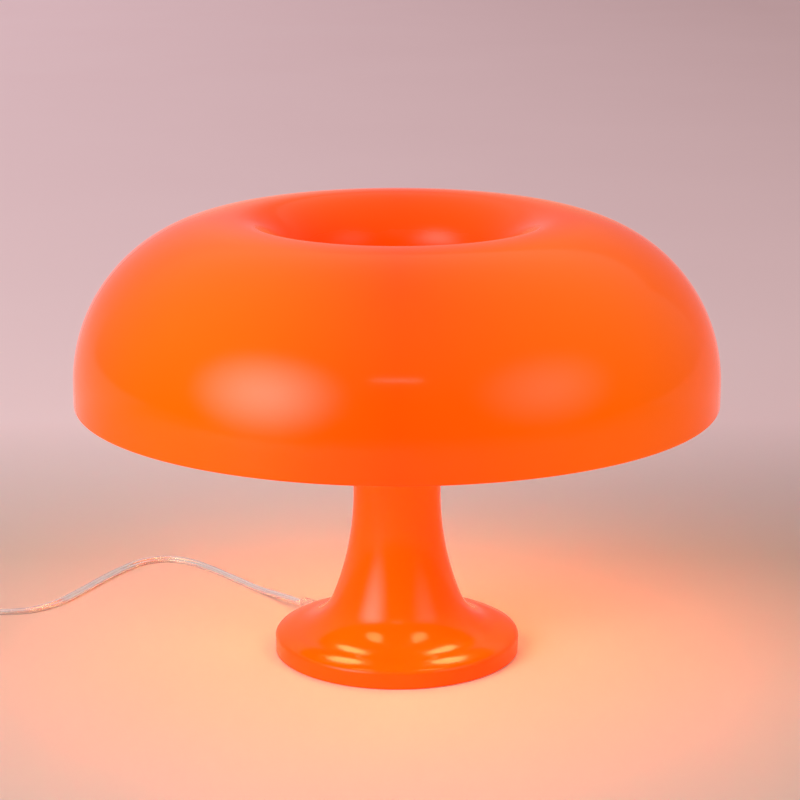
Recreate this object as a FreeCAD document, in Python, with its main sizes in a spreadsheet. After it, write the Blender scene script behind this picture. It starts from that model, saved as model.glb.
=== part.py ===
import FreeCAD, Part
import math
import os
import types

import Sketcher

# A table lamp, in millimetres. The lamp's axis is Z, the table is z = 0 and its
# front is on the -Y side. The base is a hollow moulded trumpet with
# its ballast, terminals and cord clamp inside. Four bulbs stand out from a
# bracket on the stem, and the shade sits above them on a pillar, held by a knob.

SIZES = [
    # base and stem
    ("base_radius", 62.0, "outside radius of the base disc"),
    ("base_edge_height", 9.1, "height of the disc's edge above the table"),
    ("base_edge_fillet", 1.0, "rounding of the disc's top edge"),
    ("disc_crown", 140.0, "radius of the disc's slightly domed top"),
    ("wall_gap", 0.3, "gap between the moulded wall and the table"),
    ("base_wall", 3.0, "wall of the moulded base"),
    ("foot_height", 0.8, "thickness of the rubber ring that the lamp stands on"),
    ("flare_foot_radius", 49.6, "radius where the disc's top meets the flare"),
    ("flare_foot_height", 12.9, "height where the disc's top meets the flare"),
    ("flare_radius", 148.0, "radius of the long upper curve of the flare"),
    ("flare_top", 83.0, "height where the flare becomes the straight stem"),
    ("stem_radius", 22.0, "outside radius of the stem"),
    ("stem_top", 136.0, "height of the stem's closed top"),
    # inside the base
    ("cover_thickness", 1.5, "thickness of the steel bottom cover"),
    ("cover_gap", 0.25, "gap round the bottom cover"),
    ("foot_ring_width", 8.0, "width of the rubber ring"),
    ("foot_ring_inset", 3.2, "gap between the rubber ring and the cover's screws"),
    ("weight_inset", 4.0, "gap between the ballast and the base's wall"),
    ("weight_bore", 30.0, "radius of the hole in the ballast"),
    ("weight_step", 17.0, "width of the ballast's lower, outer part"),
    ("weight_hub_height", 9.7, "height of the ballast's raised middle"),
    ("channel_gap", 1.0, "gap each side of the cord in the ballast's channel"),
    ("boss_inset", 8.0, "distance of the screw bosses from the base's wall"),
    ("boss_radius", 3.2, "radius of a screw boss"),
    ("screw_radius", 1.45, "radius of the small screws"),
    ("screw_head_radius", 2.8, "radius of the small screws' heads"),
    ("screw_head_height", 1.8, "height of a round screw head"),
    ("cover_screw_length", 7.5, "length of a cover screw"),
    ("fit_gap", 0.05, "running clearance between a round piece and its hole"),
    # cord and what holds it in the base
    ("cord_width", 4.4, "width of the twin flex"),
    ("cord_azimuth", 132.0, "direction in which the cord leaves, from +X"),
    ("notch_width", 7.0, "width of the cord's notch in the base wall"),
    ("notch_top", 8.0, "height of the top of that notch"),
    ("sleeve_length", 12.0, "how far the grommet's sleeve stands out of the base"),
    ("flange_thickness", 1.4, "thickness of the grommet's flanges"),
    ("sleeve_wall", 0.8, "wall of the grommet's sleeve at its mouth"),
    ("clamp_gap", 3.5, "gap between the terminal block and the cord clamp"),
    ("clamp_length", 8.0, "length of the clamp along the cord"),
    ("clamp_width", 22.0, "width of the clamp across the cord"),
    ("clamp_height", 7.0, "height of the clamp"),
    ("block_length", 18.0, "length of the terminal block"),
    ("block_width", 17.0, "width of the terminal block"),
    ("block_height", 13.0, "height of the terminal block"),
    ("block_offset", 2.0, "distance of the block's middle from the axis"),
    ("terminal_inset", 3.0, "distance of a terminal's well from the block's end"),
    ("terminal_depth", 6.0, "depth of a terminal's well"),
    ("terminal_length", 4.0, "length of a terminal's screw"),
    # the bolted stack on the axis
    ("tube_radius", 5.0, "outside radius of the threaded tube"),
    ("tube_bore", 3.5, "radius of the hole through the threaded tube"),
    ("tube_tail", 2.5, "length of the threaded tube below its lower nut"),
    ("nut_width", 14.0, "width across the flats of a nut"),
    ("nut_height", 4.0, "height of a nut"),
    ("washer_radius", 9.5, "outside radius of a washer"),
    ("washer_thickness", 1.5, "thickness of a washer"),
    ("bracket_thickness", 2.0, "thickness of the bracket's steel"),
    ("bracket_distance", 19.0, "distance of the lampholders' backs from the axis"),
    ("tab_width", 19.0, "width of one of the bracket's tabs"),
    ("tab_above", 11.0, "how far a tab reaches above the lampholder's middle"),
    ("holder_clearance", 3.5, "gap between a lampholder and the bracket's plate"),
    ("roof_clearance", 7.0, "gap between a lampholder and the shade's well"),
    ("pillar_radius", 8.0, "outside radius of the pillar under the shade"),
    ("plate_radius", 25.0, "radius of the plate that carries the shade"),
    ("plate_thickness", 2.0, "thickness of that plate"),
    ("seat_thickness", 1.5, "thickness of the rubber ring under the shade"),
    # wires
    ("wire_radius", 1.5, "radius of a lampholder's pair of wires"),
    ("wire_circle", 13.5, "radius of the circle where the wires pass the stem's top"),
    ("wire_hole_radius", 2.2, "radius of the holes for the wires"),
    ("wire_start", 5.7, "radius of the circle where the wires leave the block"),
    ("wire_rise", 15.0, "how far the wires rise before they spread"),
    ("wire_bend", 20.0, "radius of the wires' bends in the stem"),
    # lampholders and bulbs
    ("holder_count", 4, "number of lampholders"),
    ("holder_azimuth", 45.0, "direction of the first lampholder, from +X"),
    ("holder_radius", 12.5, "outside radius of a lampholder"),
    ("holder_length", 34.0, "length of a lampholder"),
    ("holder_collar", 1.0, "how far a lampholder's collar stands out"),
    ("collar_length", 6.0, "length of that collar"),
    ("holder_chamfer", 3.5, "how much narrower a lampholder's back is"),
    ("socket_depth", 24.0, "depth of the lampholder's socket"),
    ("shell_thickness", 0.55, "thickness of the screw shell in the socket"),
    ("shell_gap", 0.1, "gap between the screw shell and the bulb's cap"),
    ("contact_radius", 4.5, "radius of the socket's middle contact"),
    ("contact_height", 2.4, "height of that contact"),
    ("holder_screw_inset", 6.0, "distance of a fixing screw from the holder's side"),
    ("holder_screw_depth", 5.5, "how deep a fixing screw goes into the holder"),
    ("cap_radius", 6.95, "radius of the bulb's screw cap"),
    ("cap_length", 21.6, "length of the bulb's cap with its tip"),
    ("cap_wall", 0.45, "thickness of the bulb's cap"),
    ("cap_shoulder", 3.2, "height of the cap's insulating end"),
    ("bulb_length", 78.0, "length of the bulb"),
    ("globe_radius", 22.5, "radius of the bulb's globe"),
    ("glass_wall", 1.0, "thickness of the bulb's glass"),
    ("neck_curve", 14.0, "radius of the curve between the globe and its neck"),
    # shade
    ("shade_radius", 160.0, "outside radius of the shade"),
    ("skirt_height", 11.0, "height of the shade's straight skirt"),
    ("arch_radius", 80.0, "radius of the shade's outer curve"),
    ("lip_radius", 28.0, "radius of the curve from the crest into the well"),
    ("bowl_radius", 16.5, "radius of the curve at the bottom of the well"),
    ("shade_wall", 3.0, "wall of the shade"),
    ("rim_rounding", 1.2, "rounding of the rim"),
    # knob
    ("knob_radius", 12.0, "radius of the knob"),
    ("knob_height", 15.0, "height of the knob"),
    ("knob_dome", 5.0, "height of the knob's domed end"),
    ("knob_flutes", 20, "number of grip flutes round the knob"),
    ("flute_radius", 0.9, "radius of a grip flute"),
    ("tube_in_knob", 9.0, "how far the threaded tube reaches into the knob"),
    # in-line switch
    ("switch_length", 62.0, "length of the in-line switch"),
    ("switch_width", 25.0, "width of the switch"),
    ("switch_base_height", 8.0, "height of the switch's lower shell"),
    ("switch_cover_height", 8.5, "height of the switch's upper shell"),
    ("switch_wall", 1.8, "wall of the switch's shells"),
    ("switch_corner", 6.0, "corner radius of the switch, seen from above"),
    ("switch_edge", 2.0, "rounding of the switch's top and bottom edges"),
    ("switch_x", -246.0, "where the middle of the switch lies, along X"),
    ("switch_y", -15.5, "where the middle of the switch lies, along Y"),
    ("cord_grip", 8.0, "how far the cord goes into the switch"),
    ("rocker_reach", 12.0, "radius of the rocker's rounded ends about its pivot"),
    ("rocker_width", 12.0, "width of the rocker"),
    ("rocker_gap", 0.4, "gap round the rocker"),
    ("rocker_tilt", 9.0, "angle of the rocker either side of level"),
    ("pivot_depth", 3.2, "how far the rocker's pivot lies below the cover's top"),
    ("rocker_rise", 1.0, "how far the rocker's middle stands above the cover"),
    ("rocker_depth", 2.6, "how far the rocker reaches below its pivot"),
    ("trunnion_radius", 1.3, "radius of the rocker's stub axles"),
    ("trunnion_length", 1.6, "length of a stub axle"),
    ("rib_wall", 1.0, "wall of a rocker bearing past the end of the axle"),
    ("rib_side", 2.5, "wall of a rocker bearing either side of the axle"),
    ("switch_screw_inset", 5.0, "distance of the switch's screws from its side"),
    ("switch_screw_radius", 1.15, "radius of the switch's screws"),
    ("switch_screw_head", 2.2, "radius of the heads of those screws"),
    ("head_gap", 0.15, "gap round a sunk screw head"),
    ("post_wall", 1.6, "wall of the posts round the switch's screws"),
    ("drill_spare", 0.5, "depth of a screw hole past the screw's end"),
    ("switch_terminal_inset", 6.0, "distance of a switch terminal from the screws"),
    ("switch_terminal_length", 7.0, "length of a switch terminal"),
    ("switch_terminal_width", 6.0, "width of a switch terminal"),
    ("switch_terminal_height", 4.0, "height of a switch terminal"),
    ("switch_terminal_gap", 0.5, "gap between a terminal and the switch's wall"),
    # coil and plug
    ("coil_x", -259.0, "middle of the coil along X"),
    ("coil_y", -117.4, "middle of the coil along Y"),
    ("coil_inner", 15.8, "radius of the coil's innermost turn"),
    ("turn_gap", 0.55, "gap between turns that lie side by side"),
    ("layer_gap", 0.45, "gap between the coil's two layers"),
    ("plug_width", 35.3, "width of the plug"),
    ("plug_body_length", 38.0, "length of the plug's body"),
    ("plug_face_length", 16.0, "length of the plug's straight-sided end"),
    ("plug_neck_length", 12.0, "length of the plug's narrow end"),
    ("plug_neck_share", 0.33, "width of the plug's narrow end, as a share of the plug's"),
    ("plug_waist_share", 0.75, "width of the plug's waist, as a share of the plug's"),
    ("plug_rounding", 2.5, "rounding of the plug's long edges"),
    ("plug_sleeve_length", 20.0, "length of the plug's strain relief"),
    ("relief_wall", 0.9, "wall of the strain relief at its thin end"),
    ("relief_root", 2.2, "wall of the strain relief where it meets the plug"),
    ("relief_overlap", 8.0, "how far the strain relief runs into the plug"),
    ("pin_radius", 2.0, "radius of a plug pin"),
    ("pin_length", 19.0, "length of a plug pin outside the plug"),
    ("pin_spread", 9.3, "distance of a pin from the plug's middle"),
    ("pin_root", 8.0, "how far a pin is held inside the plug"),
    ("pin_tip", 1.0, "length of a pin's tapered end"),
]

# The cord from the grommet to the switch and from there to the coil: the
# corners of its route, which its arcs round off. The first and last points of
# each stretch are worked out from what it meets.
LEAD_ROUTE = [
    (-60.5, 67.2, 4.3),
    (-74.5, 85.2, 2.2),
    (-89.5, 104.8, 2.2),
    (-104.5, 122.6, 2.2),
    (-118.0, 135.0, 2.2),
    (-131.5, 139.6, 2.2),
    (-144.8, 133.6, 2.2),
    (-155.3, 118.3, 2.2),
    (-164.0, 101.3, 2.2),
    (-172.5, 82.0, 2.2),
    (-181.5, 63.8, 2.2),
    (-193.5, 51.0, 2.2),
    (-209.0, 48.8, 2.2),
    (-224.5, 49.6, 2.2),
    (-238.4, 43.8, 2.6),
    (-245.6, 32.0, 4.8),
    (-246.0, 20.0, 6.9),
]
LINK_ROUTE = [
    (-246.0, -51.5, 6.9),
    (-245.8, -65.5, 4.6),
    (-239.0, -79.5, 2.2),
]
COIL_TURNS_PER_LAYER = 4.0417
COIL_START_ANGLE = 30.0
PIECES_PER_LAYER = 16

V = FreeCAD.Vector
UP = V(0, 0, 1)

doc = FreeCAD.newDocument("table_lamp")
sheet = doc.addObject("Spreadsheet::Sheet", "Sizes")
for row, (alias, number, meaning) in enumerate(SIZES, start=1):
    sheet.set(f"A{row}", meaning)
    sheet.set(f"B{row}", str(number))
    sheet.setAlias(f"B{row}", alias)
doc.recompute()


class Size:
    """A number together with the formula of sheet cells that gives it."""

    def __init__(self, value, formula):
        self.value = float(value)
        self.formula = formula

    def __add__(self, other):
        return joined(self, "+", other, self.value + value_of(other))

    def __radd__(self, other):
        return joined(other, "+", self, value_of(other) + self.value)

    def __sub__(self, other):
        return joined(self, "-", other, self.value - value_of(other))

    def __rsub__(self, other):
        return joined(other, "-", self, value_of(other) - self.value)

    def __mul__(self, other):
        return joined(self, "*", other, self.value * value_of(other))

    def __rmul__(self, other):
        return joined(other, "*", self, value_of(other) * self.value)

    def __truediv__(self, other):
        return joined(self, "/", other, self.value / value_of(other))


def value_of(thing):
    return thing.value if isinstance(thing, Size) else float(thing)


def formula_of(thing):
    return thing.formula if isinstance(thing, Size) else repr(float(thing))


def sine(angle):
    return Size(math.sin(math.radians(angle.value)), f"sin({angle.formula})")


def cosine(angle):
    return Size(math.cos(math.radians(angle.value)), f"cos({angle.formula})")


def arcsine(ratio):
    """An angle in degrees, as a plain number."""
    return Size(math.degrees(math.asin(ratio.value)), f"(asin({ratio.formula}) / 1 deg)")


def joined(left, sign, right, value):
    return Size(value, f"({formula_of(left)} {sign} {formula_of(right)})")


NOTHING = Size(0, "0")
s = types.SimpleNamespace(
    **{alias: Size(sheet.get(alias), f"Sizes.{alias}") for alias, _, _ in SIZES}
)

# Heights and places that several pieces share.
cover_top = s.foot_height + s.cover_thickness
cord_radius = s.cord_width / 2
cord_height = cover_top + cord_radius
disc_slope = (s.flare_foot_height - s.base_edge_height) / (s.base_radius - s.flare_foot_radius)
stem_roof = s.stem_top - s.base_wall
bracket_top = s.stem_top + s.bracket_thickness
collar_radius = s.holder_radius + s.holder_collar
holder_height = bracket_top + s.holder_clearance + collar_radius
screw_spread = s.holder_radius - s.holder_screw_inset
well_floor = holder_height + collar_radius + s.roof_clearance + s.shade_wall
shade_top = well_floor + s.bowl_radius + s.lip_radius
rim_height = shade_top - s.arch_radius - s.skirt_height
boss_circle = s.base_radius - s.base_wall - s.boss_inset
foot_ring_outer = boss_circle - s.screw_head_radius - s.foot_ring_inset
block_end = s.block_offset + s.block_length / 2
clamp_distance = block_end + s.clamp_gap + s.clamp_length / 2
lower_nut_top = stem_roof - s.washer_thickness
upper_nut_bottom = bracket_top + s.washer_thickness
pillar_bottom = upper_nut_bottom + s.nut_height
shade_underside = well_floor - s.shade_wall
plate_top = shade_underside - s.seat_thickness
pillar_top = plate_top - s.plate_thickness
knob_bottom = well_floor + s.washer_thickness
tube_bottom = lower_nut_top - s.nut_height - s.tube_tail
tube_top = knob_bottom + s.tube_in_knob
tube_hole = s.tube_radius + s.fit_gap
switch_height = s.switch_base_height + s.switch_cover_height
layer_pitch = s.cord_width + s.layer_gap
turn_pitch = s.cord_width + s.turn_gap
coil_outer = s.coil_inner + turn_pitch * COIL_TURNS_PER_LAYER
coil_top_layer = cord_radius + layer_pitch

nodes = []


def bind(thing, prop, amount):
    """Sets a property and ties it to the sheet."""
    if isinstance(amount, Size):
        thing.setExpression(prop, amount.formula)
    else:
        setattr(thing, prop, amount)


def node(thing, label, placement=None):
    """Names a finished piece, so that it is written out."""
    thing.Label = label
    if placement is not None:
        thing.Placement = placement
    nodes.append(thing)
    return thing


# Sketches and the features of a body


def new_body(name):
    return doc.addObject("PartDesign::Body", name)


def origin_part(body, role):
    return [part for part in body.Origin.OriginFeatures if part.Role == role][0]


def new_sketch(body, name, plane, offset=0, turn=0):
    sketch = body.newObject("Sketcher::SketchObject", name)
    sketch.AttachmentSupport = [(origin_part(body, plane), "")]
    sketch.MapMode = "FlatFace"
    sketch.AttachmentOffset = FreeCAD.Placement(
        V(0, 0, value_of(offset)), FreeCAD.Rotation(UP, value_of(turn))
    )
    if isinstance(offset, Size):
        sketch.setExpression("AttachmentOffset.Base.z", offset.formula)
    if isinstance(turn, Size):
        sketch.setExpression("AttachmentOffset.Rotation.Angle", turn.formula)
    return sketch


def constrain(sketch, kind, *where, amount=None):
    """Adds a constraint, tied to the sheet where it has an amount."""
    if amount is None:
        return sketch.addConstraint(Sketcher.Constraint(kind, *where))
    index = sketch.addConstraint(Sketcher.Constraint(kind, *where, value_of(amount)))
    if isinstance(amount, Size):
        sketch.setExpression(f"Constraints[{index}]", amount.formula)
    return index


def pin_point(sketch, geometry, end, x, y):
    """Fixes a point's coordinates. A coordinate of 0 puts it on the axis."""
    for kind, axis, amount in (("DistanceX", -2, x), ("DistanceY", -1, y)):
        if value_of(amount) == 0:
            constrain(sketch, "PointOnObject", geometry, end, axis)
        else:
            constrain(sketch, kind, -1, 1, geometry, end, amount=amount)


def polygon(sketch, corners):
    points = [V(value_of(x), value_of(y), 0) for x, y in corners]
    first = sketch.GeometryCount
    count = len(points)
    for i in range(count):
        sketch.addGeometry(Part.LineSegment(points[i], points[(i + 1) % count]), False)
    for i in range(count):
        constrain(sketch, "Coincident", first + i, 2, first + (i + 1) % count, 1)
    for i, (x, y) in enumerate(corners):
        pin_point(sketch, first + i, 1, x, y)


def circle(sketch, x, y, radius):
    centre = V(value_of(x), value_of(y), 0)
    index = sketch.addGeometry(Part.Circle(centre, UP, value_of(radius)), False)
    constrain(sketch, "Radius", index, amount=radius)
    pin_point(sketch, index, 3, x, y)


def arc(sketch, centre, radius, start, end):
    """An arc from angle start to angle end, in degrees, anticlockwise."""
    round_edge = Part.Circle(V(centre[0], centre[1], 0), UP, radius)
    curve = Part.ArcOfCircle(round_edge, math.radians(start), math.radians(end))
    return sketch.addGeometry(curve, False)


def line(sketch, start, end):
    return sketch.addGeometry(Part.LineSegment(V(*start, 0), V(*end, 0)), False)


def feature(body, kind, name, sketch=None):
    made = body.newObject(f"PartDesign::{kind}", name)
    if sketch is not None:
        made.Profile = sketch
        sketch.Visibility = False
    return made


def revolve(body, sketch, name):
    turned_shape = feature(body, "Revolution", name, sketch)
    turned_shape.ReferenceAxis = (sketch, ["V_Axis"])
    turned_shape.Angle = 360
    return turned_shape


def pad(body, sketch, name, length, midplane=False, backwards=False):
    padded = feature(body, "Pad", name, sketch)
    bind(padded, "Length", length)
    padded.Midplane = midplane
    padded.Reversed = backwards
    return padded


def pocket(body, sketch, name, depth, midplane=False, backwards=False):
    """Cuts a sketch out of its body, and stops if that takes nothing away."""
    doc.recompute()
    before = body.Shape.Volume
    cut_out = feature(body, "Pocket", name, sketch)
    bind(cut_out, "Length", depth)
    cut_out.Midplane = midplane
    cut_out.Reversed = backwards
    doc.recompute()
    if not body.Shape.Volume < before - 1e-6:
        raise RuntimeError(f"{name} cuts nothing")
    return cut_out


def fillet(body, name, radius, wanted):
    """Rounds the edges of the body's shape that pass the test."""
    doc.recompute()
    base = body.Tip
    edges = [f"Edge{i}" for i, e in enumerate(base.Shape.Edges, start=1) if wanted(e)]
    if not edges:
        raise RuntimeError(f"{name} found no edges")
    rounded = feature(body, "Fillet", name)
    rounded.Base = (base, edges)
    bind(rounded, "Radius", radius)
    return rounded


def polar(body, name, originals, count):
    pattern = feature(body, "PolarPattern", name)
    pattern.Originals = originals
    pattern.Axis = (origin_part(body, "Z_Axis"), [""])
    pattern.Angle = 360
    bind(pattern, "Occurrences", count)
    body.Tip = pattern
    doc.recompute()
    return pattern


def turned(name, outline):
    """A body turned about its own Z axis from corners (radius, height)."""
    body = new_body(name)
    sketch = new_sketch(body, name + "_outline", "XZ_Plane")
    polygon(sketch, outline)
    revolve(body, sketch, name + "_turned")
    return body


def ring_outline(outer, inner, bottom, top):
    return [(inner, bottom), (outer, bottom), (outer, top), (inner, top)]


def disc_outline(radius, bottom, top):
    return [(0, bottom), (radius, bottom), (radius, top), (0, top)]


# Plain solids


def put(thing, x=0, y=0, z=0, rotation=None):
    """Places a plain solid, with its place tied to the sheet."""
    thing.Placement = FreeCAD.Placement(
        V(value_of(x), value_of(y), value_of(z)), rotation or FreeCAD.Rotation()
    )
    for axis, amount in (("x", x), ("y", y), ("z", z)):
        if isinstance(amount, Size):
            thing.setExpression(f"Placement.Base.{axis}", amount.formula)
    return thing


ALONG = {
    "x": FreeCAD.Rotation(V(0, 1, 0), 90),
    "y": FreeCAD.Rotation(V(1, 0, 0), -90),
    "z": FreeCAD.Rotation(),
}


def block(name, low, high):
    box = doc.addObject("Part::Box", name)
    for prop, start, end in zip(("Length", "Width", "Height"), low, high):
        bind(box, prop, NOTHING + end - start)
    return put(box, *low)


def rod(name, radius, start, length, along="z"):
    bar = doc.addObject("Part::Cylinder", name)
    bind(bar, "Radius", radius)
    bind(bar, "Height", length)
    return put(bar, *start, rotation=ALONG[along])


def taper(name, radius_at_start, radius_at_end, start, length, along="z"):
    cone = doc.addObject("Part::Cone", name)
    bind(cone, "Radius1", radius_at_start)
    bind(cone, "Radius2", radius_at_end)
    bind(cone, "Height", length)
    return put(cone, *start, rotation=ALONG[along])


def fused(name, parts):
    union = doc.addObject("Part::MultiFuse", name)
    union.Shapes = parts
    return union


def without(name, solid, tools):
    left = doc.addObject("Part::Cut", name)
    left.Base = solid
    left.Tool = tools[0] if len(tools) == 1 else fused(name + "_holes", tools)
    return left


def group(name, members):
    bunch = doc.addObject("Part::Compound", name)
    bunch.Links = members
    return bunch


def at_azimuth(degrees, x=0.0, y=0.0, z=0.0):
    """The placement of something drawn along +X, turned about the lamp's axis."""
    turn = FreeCAD.Rotation(UP, degrees)
    return FreeCAD.Placement(turn.multVec(V(x, y, z)), turn)


# Paths of cords and wires


def arc_points(start, corner, end):
    """The middle point of the arc that is tangent to two equal legs."""
    chord_middle = (start + end) / 2
    rise = corner - chord_middle
    half_chord = (end - start).Length / 2
    turn = 2 * math.atan2(rise.Length, half_chord)
    return chord_middle + rise.normalize() * (half_chord * math.tan(turn / 4))


def rounded_route(points, radii):
    """Straight runs joined by tangent arcs."""
    edges = []
    here = points[0]
    for i in range(1, len(points) - 1):
        before = (points[i] - points[i - 1]).normalize()
        after = (points[i + 1] - points[i]).normalize()
        half_turn = before.getAngle(after) / 2
        leg = radii[i - 1] * math.tan(half_turn)
        start = points[i] - before * leg
        end = points[i] + after * leg
        edges.append(Part.LineSegment(here, start).toShape())
        edges.append(Part.Arc(start, arc_points(start, points[i], end), end).toShape())
        here = end
    edges.append(Part.LineSegment(here, points[-1]).toShape())
    return Part.Wire(edges)


def roomy_radii(points):
    """Each arc as large as its two runs allow."""
    share = 0.45
    radii = []
    for i in range(1, len(points) - 1):
        before = points[i] - points[i - 1]
        after = points[i + 1] - points[i]
        shorter = min(before.Length, after.Length)
        radii.append(share * shorter / math.tan(before.getAngle(after) / 2))
    return radii


def swept(path, radius):
    """A round tube along a path."""
    first = path.OrderedEdges[0]
    start = first.valueAt(first.FirstParameter)
    heading = first.tangentAt(first.FirstParameter)
    section = Part.Wire([Part.Circle(start, heading, radius).toShape()])
    return path.makePipeShell([section], True, False)


def cord_solid(name, path, radius):
    """A tube as a document object, with its volume compared and printed."""
    solid = swept(path, radius)
    expected = math.pi * radius**2 * path.Length
    print(f"{name}: length {path.Length:.1f}, volume / expected {solid.Volume / expected:.4f}")
    if abs(solid.Volume / expected - 1) > 0.02:
        raise RuntimeError(f"{name} has the wrong volume")
    tube = doc.addObject("Part::Feature", name)
    tube.Shape = solid
    return tube


def screw(name, radius, head_radius, head_height, length):
    """A round-headed screw: its head is above z = 0 and its shank below."""
    head = rod(name + "_head", head_radius, (0, 0, 0), head_height)
    shank = rod(name + "_shank", radius, (0, 0, 0), length)
    shank.Placement = FreeCAD.Placement(V(), FreeCAD.Rotation(V(1, 0, 0), 180))
    return slotted(name, [head, shank], radius, head_radius, head_height)


def slotted(name, solids, width, head_radius, head_height):
    """Cuts a driver's slot across the top of a screw's head."""
    half = width / 4
    slot = block(
        name + "_slot",
        (0 - head_radius, 0 - half, head_height / 2),
        (head_radius, half, head_height * 2),
    )
    return without(name, fused(name + "_solid", solids), [slot])


# The base


def make_base_body():
    """A hollow trumpet, open below, with bosses, wire holes and a cord notch."""
    body = new_body("base_body")
    sketch = new_sketch(body, "trumpet_outline", "XZ_Plane")
    rim, low, edge = s.base_radius.value, s.wall_gap.value, s.base_edge_height.value
    foot = (s.flare_foot_radius.value, s.flare_foot_height.value)
    crown = s.disc_crown.value
    chord_slope = math.atan(disc_slope.value)
    half_crown = math.asin(math.dist(foot, (rim, edge)) / 2 / crown)
    slope = chord_slope - half_crown
    crown_centre = (foot[0] - crown * math.sin(slope), foot[1] - crown * math.cos(slope))
    big_centre = (s.stem_radius.value + s.flare_radius.value, s.flare_top.value)
    lean = (math.sin(slope), math.cos(slope))
    across = (big_centre[0] - foot[0], big_centre[1] - foot[1])
    reach = across[0] * lean[0] + across[1] * lean[1] - s.flare_radius.value
    small_radius = (across[0] ** 2 + across[1] ** 2 - s.flare_radius.value**2) / (2 * reach)
    small_centre = (foot[0] + small_radius * lean[0], foot[1] + small_radius * lean[1])
    meet = math.degrees(
        math.atan2(small_centre[1] - big_centre[1], small_centre[0] - big_centre[0])
    ) % 360
    join = (
        big_centre[0] + s.flare_radius.value * math.cos(math.radians(meet)),
        big_centre[1] + s.flare_radius.value * math.sin(math.radians(meet)),
    )
    top = s.stem_top.value
    underside = line(sketch, (0, low), (rim, low))
    wall = line(sketch, (rim, low), (rim, edge))
    edge_slope = math.degrees(chord_slope + half_crown)
    disc = arc(sketch, crown_centre, crown, 90 - edge_slope, 90 - math.degrees(slope))
    small = arc(sketch, small_centre, small_radius, meet, 270 - math.degrees(slope))
    big = arc(sketch, big_centre, s.flare_radius.value, 180, meet)
    stem = line(sketch, (s.stem_radius.value, s.flare_top.value), (s.stem_radius.value, top))
    roof = line(sketch, (s.stem_radius.value, top), (0, top))
    axis = line(sketch, (0, top), (0, low))
    constrain(sketch, "Coincident", underside, 2, wall, 1)
    constrain(sketch, "Coincident", wall, 2, disc, 1)
    constrain(sketch, "Tangent", disc, 2, small, 2)
    constrain(sketch, "Tangent", small, 1, big, 2)
    constrain(sketch, "Tangent", big, 1, stem, 1)
    constrain(sketch, "Coincident", stem, 2, roof, 1)
    constrain(sketch, "Coincident", roof, 2, axis, 1)
    constrain(sketch, "Coincident", axis, 2, underside, 1)
    for flat in (underside, roof):
        constrain(sketch, "Horizontal", flat)
    for upright in (wall, stem):
        constrain(sketch, "Vertical", upright)
    constrain(sketch, "PointOnObject", axis, 1, -2)
    constrain(sketch, "PointOnObject", axis, 2, -2)
    constrain(sketch, "Radius", big, amount=s.flare_radius)
    constrain(sketch, "DistanceX", -1, 1, wall, 1, amount=s.base_radius)
    constrain(sketch, "DistanceY", -1, 1, wall, 1, amount=s.wall_gap)
    constrain(sketch, "DistanceY", -1, 1, wall, 2, amount=s.base_edge_height)
    constrain(sketch, "Radius", disc, amount=s.disc_crown)
    constrain(sketch, "DistanceX", -1, 1, disc, 2, amount=s.flare_foot_radius)
    constrain(sketch, "DistanceY", -1, 1, disc, 2, amount=s.flare_foot_height)
    constrain(sketch, "DistanceX", -1, 1, stem, 1, amount=s.stem_radius)
    constrain(sketch, "DistanceY", -1, 1, stem, 1, amount=s.flare_top)
    constrain(sketch, "DistanceY", -1, 1, stem, 2, amount=s.stem_top)
    solid = revolve(body, sketch, "trumpet")
    doc.recompute()
    print("lower flare radius", round(small_radius, 2), "meets at", [round(x, 2) for x in join])

    open_face = [
        f"Face{i}"
        for i, face in enumerate(solid.Shape.Faces, start=1)
        if abs(face.CenterOfMass.z - low) < 1e-3 and face.Surface.TypeId == "Part::GeomPlane"
    ]
    hollow = feature(body, "Thickness", "hollow")
    hollow.Base = (solid, open_face)
    bind(hollow, "Value", s.base_wall)
    hollow.Reversed = True
    hollow.Join = 1
    doc.recompute()

    boss_top = (
        s.base_edge_height + (s.base_radius - boss_circle) * disc_slope - s.base_wall / 2
    )
    boss_outline = new_sketch(body, "boss_outline", "XY_Plane", cover_top, 180)
    circle(boss_outline, boss_circle, 0, s.boss_radius)
    boss = pad(body, boss_outline, "boss", boss_top - cover_top)
    pilot_outline = new_sketch(body, "pilot_outline", "XY_Plane", cover_top, 180)
    circle(pilot_outline, boss_circle, 0, s.screw_radius + s.fit_gap)
    pilot = pocket(
        body, pilot_outline, "pilot_hole", boss_top - cover_top - s.base_wall / 3, backwards=True
    )
    polar(body, "bosses", [boss, pilot], 3)

    hole_outline = new_sketch(body, "tube_hole_outline", "XY_Plane", stem_roof)
    circle(hole_outline, 0, 0, tube_hole)
    pocket(body, hole_outline, "tube_hole", s.base_wall, backwards=True)
    turn = s.holder_azimuth - s.cord_azimuth
    wire_outline = new_sketch(body, "wire_hole_outline", "XY_Plane", stem_roof, turn)
    circle(wire_outline, s.wire_circle, 0, s.wire_hole_radius)
    wire_hole = pocket(body, wire_outline, "wire_hole", s.base_wall, backwards=True)
    polar(body, "wire_holes", [wire_hole], s.holder_count)

    half = s.notch_width / 2
    notch_outline = new_sketch(
        body, "notch_outline", "YZ_Plane", s.base_radius - s.base_wall * 2
    )
    polygon(
        notch_outline,
        [(0 - half, 0), (half, 0), (half, s.notch_top), (0 - half, s.notch_top)],
    )
    pocket(body, notch_outline, "cord_notch", s.base_wall * 3, backwards=True)

    def top_edge(found):
        ring = found.Curve
        return (
            ring.TypeId == "Part::GeomCircle"
            and abs(ring.Radius - rim) < 1e-3
            and abs(found.CenterOfMass.z - edge) < 0.5
        )

    fillet(body, "edge_rounding", s.base_edge_fillet, top_edge)
    node(body, "base_body", at_azimuth(s.cord_azimuth.value))


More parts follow.
